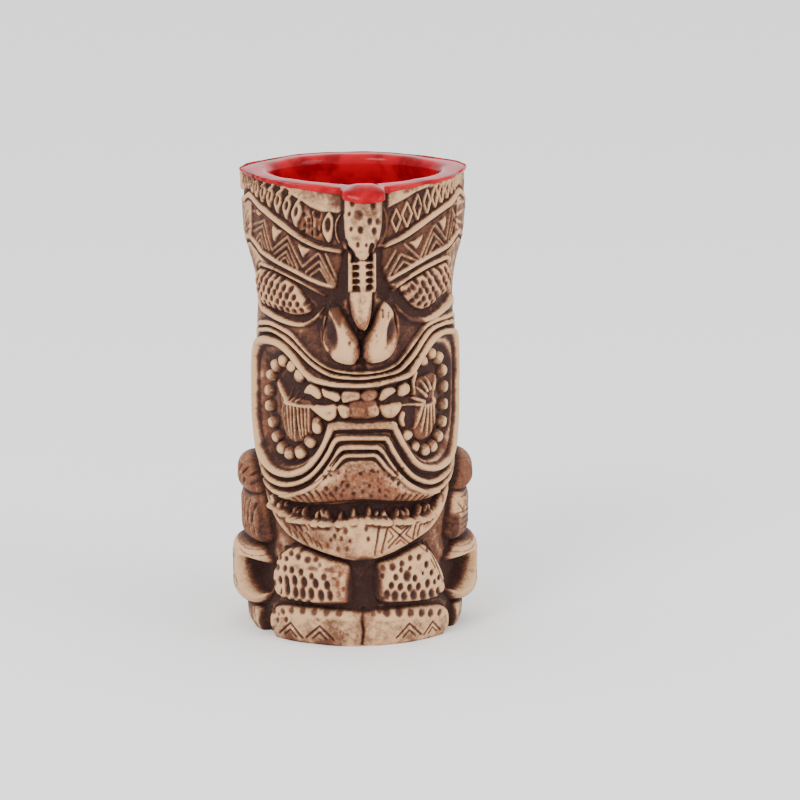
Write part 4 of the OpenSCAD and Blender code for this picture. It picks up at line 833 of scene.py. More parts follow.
        w.ridge([start, end], (0.9, 0.4), 0.7, bright=0.15)
    for start, end in (((25.6, 88.6), (20.6, 92.6)), ((26, 90.4), (22.6, 95)), ((27.6, 91), (25.4, 95.4)),
            ((29.4, 90.6), (30.6, 95.4)), ((24.6, 86.8), (17.6, 89.2)), ((24.6, 85.8), (14.4, 86.4)),
            ((23.6, 85.4), (20.6, 77.4)), ((25, 85), (23, 75.6)), ((26.4, 85), (25.4, 73.8)),
            ((27.8, 85), (28, 75)), ((29.2, 85.6), (30.4, 77.6)), ((29.6, 87), (32.2, 84))):
        mid = ((start[0] + end[0]) / 2 + 0.2, (start[1] + end[1]) / 2)
        w.ridge([start, mid, end], (1.7, 1.3, 0.6), 1.0, bright=0.35)

    # Teeth
    def tooth(points, piece, bright=0.12, rise=2.35, warm=0.0):
        middle = np.mean(points, axis=0)
        points = [tuple(middle + (np.array(p) - middle) * 1.2) for p in points]
        w.swell(points, rise - 2.4, 1.4, piece, power=2.0, floor=-1.9)
        w.tint(points, dark=-bright, warm=warm or None, soft=0.8)

    w.tint([(-10, 94), (-21, 94.6), (-23, 90), (-10, 87)], dark=0.9, soft=0.8)
    w.tint([(6, 94.6), (18, 96), (19, 88), (6, 88)], dark=0.9, soft=0.8)
    w.tint([(-10, 94.2), (6, 94.2), (6, 93.2), (-10, 93.2)], dark=0.85, soft=0.6)
    w.tint([(-10.6, 84), (-9, 82), (-6, 82), (-9.4, 87)], dark=0.9, soft=0.6)
    w.tint([(-17.4, 78), (-15, 83), (-12.6, 80.6), (-15.4, 73.8)], dark=0.85, soft=0.8)
    tooth([(-21.6, 91), (-20.4, 93.4), (-18.6, 94.2), (-16.6, 92.8), (-15.6, 90.6), (-16.8, 89.4),
        (-19.4, 90.6)], "teeth_upper")
    tooth([(-14.6, 93), (-12.2, 92.4), (-9.4, 91.8), (-8.4, 90.2), (-9.8, 88.8), (-12.2, 89.6), (-14, 90.4)],
          "teeth_upper")
    tooth([(-7.4, 91.2), (-5.4, 92.8), (-1.8, 92.2), (-1.4, 89.8), (-4.6, 88.8), (-6.8, 88.6)],
        "teeth_upper", warm=0.25)
    tooth([(-0.4, 90.8), (1.4, 93), (4, 92.8), (5.4, 91), (3.4, 89.2), (1, 89)], "teeth_upper", bright=0.0,
        warm=0.8)
    tooth([(6.4, 90), (7.6, 93), (10.4, 93.4), (12, 91.8), (9.6, 90.2), (7.4, 89)], "teeth_upper",
        bright=0.15, warm=0.35)
    tooth([(13.6, 90.6), (14, 93.2), (15.9, 94.4), (17.8, 93.2), (17.6, 91), (15.4, 90)], "teeth_upper",
        warm=0.2)
    w.ridge([(19.8, 90), (19.6, 93.6), (20.6, 97.6)], (0.8, 1.5, 2.6), 2.2, "teeth_ring_right", bright=0.5)
    tooth([(-18.6, 85.8), (-14, 86.6), (-10.2, 86.9), (-10.2, 83.6), (-12.4, 81.8), (-15.6, 83.2)],
        "teeth_lower")
    tooth([(-9, 86.6), (-6.6, 87.2), (-4.6, 86), (-5.2, 83.4), (-7.6, 83.2)], "teeth_lower", warm=0.15)
    tooth([(-4, 86.4), (-1.6, 87), (0.6, 86), (0, 83.4), (-3.2, 83.4)], "teeth_lower", bright=-0.05,
        warm=0.95)
    tooth([(1.8, 86.6), (4.4, 87.2), (5.8, 86), (5.6, 83.8), (2.6, 83.6)], "teeth_lower", bright=0.1,
        warm=0.5)
    tooth([(6.8, 86.6), (10, 87), (14.2, 87), (13.4, 84.4), (11, 82.6), (8.2, 83.2)], "teeth_lower",
        bright=0.1, warm=0.5)
    w.tint([(-4.6, 89.6), (6, 89.6), (6, 82), (-5, 82)], dark=0.2, warm=0.7, soft=1.0)
    w.swell([(-5, 89), (0, 89.8), (5, 89), (5, 82.6), (-5, 82.6)], -0.7, 1.4, power=1.6, floor=-2)
    for spot in ((-24, 97, 64, 2.0, 2.6), (-27.4, 99.8, 50, 1.9, 2.4), (-31.8, 101.2, 92, 1.8, 2.3),
                 (-36.2, 98.8, 120, 1.7, 2.4), (-39.2, 94.8, 150, 1.7, 2.1), (-40.6, 89, 175, 1.8, 2.0),
                 (-40.2, 83.4, 185, 1.8, 2.0), (-38, 77.9, 205, 1.8, 2.1), (-35.6, 73, 225, 1.8, 2.1),
                 (-32.6, 69.3, 250, 1.9, 2.3), (-28.7, 67.9, 270, 1.9, 2.3), (-23.9, 69, 300, 1.9, 2.5),
                 (-19.8, 73.2, 325, 1.7, 2.4), (-16.9, 79.3, 275, 1.8, 3.0)):
        ring_tooth(w, spot, "teeth_ring_left")
    for spot in ((24.4, 101.3, 120, 1.6, 2.2), (28.8, 103.4, 95, 1.7, 2.1), (33.1, 101.2, 60, 1.8, 2.4),
                 (36, 96, 30, 1.9, 2.3), (37.2, 89.8, 5, 1.9, 2.1), (37.2, 83.4, -5, 1.9, 2.1),
                 (35.9, 77.5, -25, 1.9, 2.2), (33.2, 72.6, -45, 1.9, 2.3), (29.6, 69.6, -65, 1.8, 2.3),
                 (25.4, 68.8, -85, 1.8, 2.2), (20.6, 70.8, -120, 1.5, 2.0), (17.2, 75.4, -150, 1.6, 2.2)):
        ring_tooth(w, spot, "teeth_ring_right")
    w.ridge([(15.4, 83.4), (14.8, 81.4), (15.4, 79.4)], (2.2, 2.6, 2.0), 2.2, "teeth_ring_right", bright=0.3)


def ring_tooth(w, spot, piece):
    """Rounded nub that points away from the middle of the hollow."""
    a, z, turn, wide, tall = spot
    wide, tall = wide * 1.2, tall * 1.04
    c, s = math.cos(math.radians(turn)), math.sin(math.radians(turn))
    shape = [(0.95, 0.0), (0.7, 0.75), (0.1, 0.95), (-0.8, 0.7), (-1.0, 0.0), (-0.8, -0.7), (0.1, -0.95),
        (0.7, -0.75)]
    points = [(a + u * tall * c - v * wide * s, z + u * tall * s + v * wide * c) for u, v in shape]
    w.swell(points, 0.2, 1.3, piece, floor=-1.9)
    outer = [(a + (u * 0.6 + 0.35) * tall * c - v * 0.7 * wide * s,
        z + (u * 0.6 + 0.35) * tall * s + v * 0.7 * wide * c) for u, v in shape]
    w.tint(outer, dark=-0.4, soft=1.2)


def carve_jaw(w, s):
    """Speckled muzzle, toothed slit and hatched jaw."""
    slit = [(-34, 50.4), (-28, 50.8), (-20, 50.4), (-10, 51.4), (0, 52.8), (10, 51.6), (20, 50.6), (28, 51),
            (33, 51.6)]
    w.level(slit + [(30, 48), (24, 46), (17, 45.4), (10, 46.2), (4, 46.8), (0, 47.4), (-4, 46.6), (-10, 45.8),
                    (-17, 45.6), (-24, 46), (-31, 47.4)], -1.8, soft=0.7, dark=1.0)
    w.pits([(-28, 48.2, 1.0), (-19, 47.6, 1.25), (-10.6, 47.8, 1.2), (0, 49.4, 1.2), (10.4, 48.2, 1.15),
            (19.4, 47.8, 1.2)], 1.6, 1.9, 0.6, dark=1.0)
    for a, low, top, lean in ((-35.6, 49, 51.4, -0.6), (-33, 47.6, 50, 0.8), (-31, 46.8, 49.8, 0.6),
            (-26, 45.8, 49, 1.2), (-24.4, 45.8, 48.2, 0.9), (-22, 45.8, 49.2, 0.9),
            (-16.8, 45.4, 48.6, 0.9), (-14, 45.6, 49.4, -0.8), (-12.6, 45.6, 49, -0.4),
            (-8.2, 45.8, 48.6, 0.6), (-3.4, 46.8, 50, 0.2), (2.2, 47, 50.4, 0), (4.6, 46.6, 49, 0.6),
            (6.8, 46.2, 48.8, 1.0), (8.6, 46, 48.2, -1), (12.6, 46, 49, 0), (15.2, 45.8, 48.4, -1.0),
            (16.8, 45.6, 49, -0.8), (21.4, 45.6, 49.6, 0), (24, 45.8, 49, 0.4), (26.4, 46.2, 49.4, -1.2)):
        w.ridge([(a, low - 0.6), (a + 0.3 * lean, (low + top) / 2), (a + lean, top)], (3.4, 2.3, 1.1),
            3.4 if abs(a) < 30 else 1.8, "jaw_teeth", bright=0.6)
    # Muzzle: brown speckle below a pale upper part
    brown = [(-27, 51.4), (-24, 53.6), (-18, 55.4), (-14, 57.4), (-9, 60.6), (-6, 64), (0, 65.6), (5, 64),
        (8, 60.6), (14, 56.6), (20, 54.4), (26, 52), (12, 51.4), (0, 53), (-12, 51.6)]
    w.tint(brown, dark=0.42, warm=1.0, soft=2.5)
    w.tint([(-22, 52), (-12, 55.6), (0, 58), (12, 55.4), (22, 52), (10, 51), (-10, 51)], dark=0.5, warm=0.9,
        soft=2)
    w.tint([(-6, 66), (6, 66), (5, 60), (-5, 60)], warm=0.6, soft=2.0)
    w.pits(np.column_stack([w.random.uniform(-15, 15, 90), w.random.uniform(53, 64, 90),
        w.random.uniform(0.5, 1.25, 90)]), 0.5, 0.6, 0.35, dark=0.6)
    w.pits([(-13.2, 57, 1.3), (-11.4, 55.2, 1.3), (-9.4, 57.4), (-7.6, 54.8, 1.3), (-5.4, 58.4, 1.4),
        (-3, 55.6), (0, 56.4, 1.3), (3, 54.6), (2.4, 58.4), (6, 56.6), (8, 54.4)], 0.65, 0.8, 0.5,
        dark=0.75)
    for a0, z0, a1, z1 in ((-28.6, 51.4, -26, 50.6), (-26, 52.6, -23, 50.8), (-23.8, 53.6, -20.8, 51),
            (-21.6, 54.4, -18.6, 51.4), (-19.6, 55.4, -16.8, 52), (-17, 56, -14, 52.6),
            (-14.6, 56, -11.8, 52.8), (-10.6, 54.6, -9, 52.6), (11, 52, 13.6, 54.6), (13, 51.8, 16, 54.8),
            (15.2, 51.6, 18.2, 54), (17.6, 51.2, 20.6, 53.6), (20, 51, 23, 53), (22.2, 50.9, 25.2, 52.6)):
        w.cut([(a0, z0), ((a0 + a1) / 2, (z0 + z1) / 2 + 0.2), (a1, z1)], (0.9, 1.4, 0.7), 0.6, dark=0.75)

    # Jaw: dots in the middle, hatching on the left, crossed panel on the right
    w.tint([(-30, 42), (-20, 37), (0, 32), (18, 37.6), (26, 42), (18, 40), (0, 36.4), (-18, 41)], dark=0.12,
        warm=0.6, soft=2.5)
    w.tint([(-36, 47), (-26, 44.6), (-17, 43), (-10, 38), (-12, 34), (-22, 36.6), (-30, 41)], dark=0.4,
        warm=0.35, soft=2.5)
    w.tint([(-14, 41), (-4, 40), (-2, 33), (-8, 33)], dark=0.34, warm=0.4, soft=3)
    w.tint([(-9, 35), (-3, 34), (0, 31.4), (5, 33.4), (-4, 31.4)], dark=0.5, warm=0.7, soft=1.2)
    w.pits([(-6.1, 42.1, 1.4), (1.2, 43, 1.0), (-7.6, 39.2, 1.0), (1.9, 39.2, 1.0), (-8.8, 42.6, 0.9),
        (-12.4, 43.4, 1.0), (-15.2, 43.2, 0.9), (-10, 40), (-4.6, 38.4, 0.7), (-8.8, 35.4, 1.1),
        (-5.6, 35.6, 1.2), (-12.6, 36.4, 1.1), (-11.4, 38.6, 0.8)], 0.6, 0.95, 0.45, dark=0.6)
    hatch = [(-34.4, 46.6, -32, 43.6), (-32.4, 46, -29.4, 41.8), (-30.2, 45, -27.6, 41),
        (-27.4, 44.4, -24.6, 40.4), (-24.6, 44, -22.2, 40.8), (-22, 44.2, -20, 41.6),
        (-19.4, 43.8, -17.8, 41.8), (-29.4, 42.2, -26.2, 38.6), (-26.4, 40.6, -23.8, 38),
        (-23.6, 40.2, -21, 37.2), (-20.8, 40.6, -18.2, 37), (-18.4, 38.8, -16.2, 36),
        (-16.6, 38, -14.4, 35.2), (-21.6, 38, -19.6, 35.8)]
    for a0, z0, a1, z1 in hatch:
        w.cut([(a0, z0), ((a0 + a1) / 2 + 0.2, (z0 + z1) / 2), (a1, z1)], (0.6, 1.25, 0.6), 0.55, dark=0.6)
    panel = [
        ([(5.8, 44), (5.2, 38.6), (4.2, 33.4)], 1.1), ([(9.2, 44.2), (8, 39), (6.6, 34)], 1.1),
        ([(9, 44), (17, 36.6)], 0.9), ([(19, 44.4), (9.2, 35.6)], 0.9),
        ([(11.8, 44), (14.3, 41.8), (17, 44)], 0.7), ([(9.6, 41.8), (11.2, 39.6), (9, 37.4)], 0.7),
        ([(12, 36.6), (13.8, 38), (15.6, 36.4)], 0.7), ([(18, 42.2), (16, 39.8), (18.2, 38)], 0.7),
        ([(20.2, 44.2), (19.6, 40.4), (18.6, 37.6)], 1.0), ([(22.4, 44.4), (21.6, 41), (20.4, 38.6)], 0.9),
        ([(24.6, 44.8), (23.6, 42)], 0.7), ([(27, 46), (25.6, 43.6)], 0.7), ([(31, 49), (29.6, 46.8)], 0.8),
        ([(34, 51), (32.8, 49)], 0.8),
    ]
    for points, width in panel:
        w.cut(points, width, 0.5, dark=0.6, smooth=False)
    w.tint([(-44, 53), (-34, 43), (-24, 36), (-10, 31.4), (0, 29.8), (10, 31.2), (22, 36.6), (32, 44),
        (42, 53), (34, 45), (25, 38), (12, 31.8), (0, 30.4), (-12, 32), (-25, 36.8), (-36, 44)], dark=0.75,
        soft=0.8)


def carve_limbs(w, s):
    """Pitted knees, patterned feet, hands on the hips and upper arms."""
    w.tint([(-4, 31), (5, 31), (6, 14), (-5.4, 14)], dark=1.0, soft=1.4)
    w.tint([(-38, 14.4), (-20, 13.8), (0, 14.4), (20, 13.8), (34, 12.8), (34, 14.6), (20, 15), (0, 17),
        (-20, 15.2)], dark=1.0, soft=0.8)
    w.tint([(-12, 29), (-4, 30), (-4, 16), (-9, 16)], dark=0.15, warm=0.9, soft=2.0)
    w.tint([(4.4, 30), (8, 29), (7, 17), (4.4, 17)], warm=0.4, soft=1.0)
    left = [(-28.8, 18.6), (-25.2, 18), (-22.2, 18.2), (-18.8, 18.5), (-15, 18.1), (-11.7, 18.4, 0.9)]
    w.pits(left, 1.1, 2.0, 0.9, lean=-8, dark=0.85)
    w.pits([(-32.4, 21.4, 0.8), (-29.3, 21.6), (-25.7, 22.3), (-21.7, 22.3, 1.1), (-17.2, 22.3),
        (-12.8, 22, 0.95)], 1.05, 1.7, 0.9, lean=-4, dark=0.85)
    w.pits([(-33.4, 26, 0.9), (-30, 26.2, 0.9), (-27, 26, 1.0), (-23, 25.8, 0.9), (-18.8, 24.8, 0.9),
        (-14, 25, 1.0)], 0.95, 1.35, 0.7, lean=16, dark=0.7)
    w.pits([(-31.8, 30, 0.9), (-29, 30, 0.9), (-26.6, 32.2), (-23.8, 31.5, 1.1), (-20, 30.8, 1.2),
        (-29.8, 33.2, 0.8), (-26, 34.6, 0.8), (-22.4, 34, 0.8), (-16.8, 31.2, 0.9)], 0.95, 1.15, 0.7,
        lean=34, dark=0.75)
    w.pits([(-18, 27.8), (-12.8, 27.6, 0.9), (-10.4, 24.8, 0.6)], 1.9, 1.1, 0.4, dark=0.45)
    w.pits([(-8.6, 19), (-9, 22.6), (-10.8, 28), (-8, 26.6, 0.8), (-15.4, 29.4, 0.8), (-6.8, 21, 0.8)], 1.0,
        1.4, 0.4, dark=0.5)
    w.pits([(-29, 14.9), (-26.2, 14.7), (-23.2, 14.9), (-19.6, 15)], 1.0, 1.1, 0.6, dark=0.9)
    w.pits([(-35.2, 23.6, 0.8), (-34.6, 19.8, 0.8), (-34.6, 28.2, 0.8), (-31.6, 17.4, 0.8)], 0.5, 1.7, 0.6,
        lean=-6, dark=0.6)
    w.pits([(6.9, 28.6), (10.7, 28.6, 1.2), (14.3, 29.4), (17.6, 31), (21.4, 30.8), (24.6, 33, 0.8),
        (14.2, 27, 0.8), (17.8, 27.2, 0.7)], 0.95, 1.2, 0.75, lean=-10, dark=0.78)
    w.pits([(6.8, 25.6, 1.0), (12.1, 24.5, 1.1), (16.7, 24.6, 1.7), (20, 23.2, 1.05), (25.2, 27.4, 1.0),
            (27.9, 23.9, 0.9), (23.6, 24.4, 0.5)], 0.85, 1.15, 0.8, lean=-8, dark=0.8)
    w.pits([(10.4, 21.7), (14, 20.8, 1.1), (17.7, 20, 1.05), (21.6, 19.8, 1.1), (25.9, 20.2, 1.15),
        (29.6, 20.2, 0.7), (31.8, 21.4, 0.7)], 0.95, 1.25, 0.85, dark=0.85)
    w.pits([(8.6, 18.6), (11.7, 17.8, 1.1), (15.3, 17.3), (19.3, 17.2, 1.15), (23.4, 16.4, 1.15),
        (27.6, 16.2, 1.1), (31.2, 16.4, 0.8), (6.6, 16.8, 0.9)], 1.2, 1.65, 0.9, lean=6, dark=0.9)
    for points in ([(23.4, 36.4), (27, 31), (31, 25), (34.4, 18.6)], [(24.8, 35.8), (29, 30), (33, 23.6)],
                   [(21, 35.2), (23.4, 33)], [(27, 29.2), (29.6, 25.4)]):
        w.cut(points, 0.6, 0.4, dark=0.55)

    # Feet
    w.pits([(8.6, 11.8), (13.2, 11.4), (18, 10.7), (22.9, 9.9), (27.4, 9.1), (32.4, 8.2, 0.85)], 1.3, 1.55,
        0.7, lean=-30, dark=0.75)
    w.pits([(-8.4, 12), (-13, 12), (-17.6, 11.8), (-22.2, 11.6), (-27, 11), (-31, 10, 0.9),
        (-35.4, 9.4, 0.9)], 1.2, 1.4, 0.6, lean=30, dark=0.6)
    w.pits([(-38.6, 7.6), (-34, 6.2, 1.1), (-36.4, 2.6, 1.1), (-39.4, 4.2, 0.9), (-33.2, 8.6, 0.9),
        (-29.6, 7.2, 1.1), (-37.8, 10, 0.8)], 0.65, 0.85, 0.4, lean=20, dark=0.5)
    w.pits([(6, 12.6), (3.6, 11.6)], 1.0, 1.1, 0.5, dark=0.6)
    for a, z, wide, tall in ((-27.6, 1.6, 5.4, 4.8), (-15.6, 2, 5.2, 4.8), (17.6, 2, 5.2, 4.8),
            (28.6, 1.6, 4.4, 4)):
        w.cut([(a - wide, z), (a, z + tall), (a + wide, z)], 0.9, 0.45, dark=0.65, smooth=False)
        w.cut([(a - wide * 0.5, z), (a, z + tall * 0.5), (a + wide * 0.5, z)], 0.8, 0.4, dark=0.6,
            smooth=False)
    w.cut([(0.2, 13), (-0.5, 9.6), (0.3, 5.4), (-0.3, 0.6)], (2.4, 1.3, 1.0, 1.4), 0.7, dark=0.42)
    w.tint([(-4, 13), (4, 13), (3, 5), (3, 0), (-3, 0), (-3, 5)], dark=0.42, warm=0.6, soft=2.2)
    w.tint([(-40, 1.2), (-20, 1.2), (0, 1.6), (20, 1.2), (40, 1.2), (40, -3), (-40, -3)], dark=0.0,
        warm=0.35, soft=1.5)
    w.tint([(-3, 3.4), (0, 4.4), (3, 3.4), (3, 0), (-3, 0)], dark=0.4, warm=0.6, soft=1.5)

    # Arms, drawn straight on the wall
    w.plain()
    for sign in (-1, 1):
        def side(points):
            return [(-sign * p[0], *p[1:]) for p in points]

        w.tint(side([(-38, 33), (-80, 34), (-82, 44), (-79, 60), (-62, 64), (-46, 60), (-38, 46)]),
            dark=0.48, warm=0.5, soft=2.5)
        w.tint(side([(-36, 31), (-37, 40), (-42, 50), (-47, 56), (-44, 50), (-41, 40), (-41, 32.6)]),
            dark=0.85, soft=1.4)
        w.tint(side([(-36, 33.4), (-60, 34), (-80, 36), (-80, 32.4), (-60, 30.6), (-44, 31)]), dark=0.7,
            soft=1.4)
        w.tint(side([(-44, 51.6), (-60, 51), (-80, 52), (-80, 49.4), (-60, 49), (-44, 49.6)]), dark=0.7,
            soft=1.2)
        w.tint(side([(-38, 11), (-33, 14.6), (-33, 26), (-36, 28), (-38.4, 24), (-38.4, 16)]), dark=0.95,
            soft=1.2)
        w.tint(side([(-40, 29), (-50, 30.4), (-62, 30), (-72, 25), (-73, 18), (-66, 12), (-54, 10),
            (-44, 11.4), (-50, 15), (-52, 22), (-50, 27)]), dark=-0.12, soft=2.0)
        for points in ([(-37.4, 31.4), (-44, 30.6), (-52, 31), (-60, 32)], [(-37.6, 29.4), (-44, 28.8),
                (-50, 29.6)], [(-52, 12), (-60, 13), (-68, 17)], [(-56, 27), (-64, 26.6), (-71, 23.4)],
                [(-58, 22.4), (-66, 21.6), (-73, 19.6)], [(-57, 17), (-64, 16.4), (-70, 15)]):
            w.cut(side(points), (0.4, 0.9, 0.4), 0.4, dark=0.45)
        w.ridge(side([(-36.6, 17.6), (-38.4, 15), (-41, 12.6)]), (1.4, 2.2, 1.6), 1.0, bright=0.3)
        w.tint(side([(-39, -2), (-39, 9), (-43.4, 9.6), (-44, -2)]), dark=0.95, soft=1.0)
        w.tint(side([(-38, 9), (-44, 10.4), (-60, 11), (-74, 12), (-74, 9), (-60, 8.4), (-44, 8.4)]),
            dark=0.6, soft=1.0)
        for k in range(7):
            a = -47 - 4 * k
            w.cut(side([(a, 8), (a - 0.4, 2)]), (0.4, 0.8, 0.4), 0.3, dark=0.4)
    # Left arm: streaks and dots; right arm: bands with chevrons
    for k in range(9):
        a = -43 - 3.7 * k
        w.pits([(a, 46.4 - 0.2 * k, 1.0), (a - 1.6, 42.2, 1.1), (a + 0.4, 37.6, 1.0)], 0.8, 1.8, 0.7,
            lean=14, dark=0.85)
        w.pits([(a - 3, 54.4, 1.0), (a - 4.6, 58, 0.9), (a - 1.2, 57, 0.7)], 0.9, 1.3, 0.7, lean=10,
            dark=0.85)
        w.ridge([(a + 1.6, 47.4), (a + 0.4, 42.6), (a + 1.8, 36.4)], 0.7, 0.35, bright=0.25)
    for z in (50.2, 48, 42.6, 40.4, 38.4, 36.4):
        w.cut([(40, z + 0.6), (50, z), (60, z - 0.3), (78, z)], (0.5, 0.9, 0.9, 0.5), 0.45, dark=0.5)
    w.cut([(41 + 2.5 * k, 43.6 if k % 2 else 47) for k in range(15)], 0.8, 0.45, dark=0.6, smooth=False)
    for k in range(7):
        w.cut([(44.7 + 5 * k, 44.2), (46 + 5 * k, 45.4), (47.3 + 5 * k, 44.2)], 0.5, 0.3, dark=0.5,
            smooth=False)
        w.cut([(46 + 4.4 * k, 52.6), (46.6 + 4.4 * k, 56), (48 + 4.4 * k, 59.6)], (0.5, 1.0, 0.5), 0.45,
            dark=0.55)
    w.tint([(42, 50), (78, 50), (78, 42), (42, 42)], dark=-0.02, soft=1.5)


def carve_back(w, s):
    """Bands that run on round the back, with shallow upright tool marks between them."""
    w.plain()
    a, z = w.true_a, w.true_z
    back = smoothstep((np.abs(a) - 58) / 8)
    marks = np.cos(a * 2 * math.pi / (ROUND / 64) + 0.8 * np.sin(z * 0.11 + a * 0.07))
    body = smoothstep((z - 64) / 4) * smoothstep((132 - z) / 4)
    w.height -= back * body * 0.3 * (0.5 + 0.5 * marks) ** 2
    w.dark += back * body * 0.16 * (0.5 + 0.5 * marks) ** 3
    low = smoothstep((z - 12) / 2) * smoothstep((58 - z) / 3) * smoothstep((np.abs(a) - 80) / 3)
    w.height -= low * 0.3 * (0.5 + 0.5 * np.cos(a * 2 * math.pi / (ROUND / 48))) ** 2
    w.dark += low * 0.14 * (0.5 + 0.5 * np.cos(a * 2 * math.pi / (ROUND / 48))) ** 3
    behind = smoothstep((np.abs(a) - 80) / 3)
    for level, width, rise in ((62.4, 3.0, 1.5), (133.6, 2.6, 1.4), (146.6, 2.6, 1.7), (11, 2.4, 1.2)):
        ring = np.abs(z - level) / (width / 2)
        w.height += behind * rise * flat_top(ring)
        w.dark += behind * 0.5 * (flat_top(np.abs(np.abs(z - level) - width * 0.75) / 0.8))
    zig = np.abs(((a * 2 * math.pi / ROUND * 24 / (2 * math.pi)) % 1) * 2 - 1)
    line = np.abs(z - (136.4 + 7.4 * zig)) / 1.5
    w.height += behind * 0.8 * flat_top(line)
    w.dark += (behind * 0.35 * smoothstep((z - 134.8) / 0.6) * smoothstep((145.4 - z) / 0.6)
               * smoothstep(line - 0.7))
    cell = ((a * 2 * math.pi / ROUND * 42 / (2 * math.pi)) % 1) * 2 - 1
    diamond = np.abs(cell) + np.abs(z - 155.2) / 4.6
    w.height += behind * 0.8 * flat_top(np.abs(diamond - 0.82) / 0.24)
    band = smoothstep((z - 148.4) / 0.6) * smoothstep((161 - z) / 0.6)
    w.dark += behind * band * 0.35 * smoothstep((np.abs(diamond - 0.82) - 0.16) / 0.1)


class Sizes:
    """The carving settings, with lengths in millimetres."""

    LENGTHS = ("fineness", "wobble", "crest_out", "nose_out", "jaw_out", "hand_out", "knee_out")

    def __init__(self, settings):
        for name in self.LENGTHS:
            setattr(self, name, getattr(settings, name) / MM)
        self.eye_out = settings.eye_out
        self.groove = settings.groove


_CARVED = {}


def carved_wall(settings):
    """The finished relief, carved once and shared by every piece."""
    if "wall" not in _CARVED:
        sizes = Sizes(settings)
        w = Wall(sizes.fineness * (1.0))
        claim_zones(w)
        carve_masses(w, sizes)
        w.as_seen()
        for carve in (carve_brow, carve_crest, carve_eyes, carve_nose, carve_mouth, carve_jaw, carve_limbs,
                      carve_back):
            carve(w, sizes)
        w.finish(sizes.wobble)
        _CARVED["wall"] = w
    return _CARVED["wall"]


# ---- Modelling ----

PIECES = {
    "cup_back": ("cup_wall",), "cup_front": ("cup_wall",),
    "cup_side_left": ("cup_wall",), "cup_side_right": ("cup_wall",),
    "brow_band_left": ("brow_lozenges_left",), "brow_band_right": ("brow_lozenges_right",),
}


def only(*objects):
    """Select just these objects, the last one active."""
    if bpy.context.object and bpy.context.object.mode != "OBJECT":
        bpy.ops.object.mode_set(mode="OBJECT")
    bpy.ops.object.select_all(action="DESELECT")
    for obj in objects:
        obj.select_set(True)
        bpy.context.view_layer.objects.active = obj


def new_piece(name):
    """Name the primitive that was just added."""
    obj = bpy.context.object
    obj.name = "carved_" + name
    obj.data.name = "carved_" + name
    return obj


def coordinates(mesh):
    """Vertex places as an array."""
    flat = np.empty(len(mesh.vertices) * 3)
    mesh.vertices.foreach_get("co", flat)
    return flat.reshape(-1, 3)


def place(mesh, points):
    """Move every vertex to its place."""
    mesh.vertices.foreach_set("co", np.ascontiguousarray(points, float).ravel())
    mesh.update()


def attribute(mesh, name, values):
    """Store one number per vertex for the materials."""
    layer = mesh.attributes.new(name, "FLOAT", "POINT")
    layer.data.foreach_set("value", np.ascontiguousarray(values, np.float32))


def grown(mask):
    """Mask with one more cell all round."""
    wide = mask | np.roll(mask, 1, 1) | np.roll(mask, -1, 1)
    tall = wide.copy()
    tall[1:] |= wide[:-1]
    tall[:-1] |= wide[1:]
    return tall


def without_corner_touches(mask):
    """Fill cells so that no two of them meet only at a corner."""
    for _ in range(4):
        a, b, c, d = mask[:-1, :-1], mask[:-1, 1:], mask[1:, :-1], mask[1:, 1:]
        first, second = a & d & ~b & ~c, b & c & ~a & ~d
        if not first.any() and not second.any():
            break
        mask[:-1, 1:] |= first
        mask[:-1, :-1] |= second
    return mask


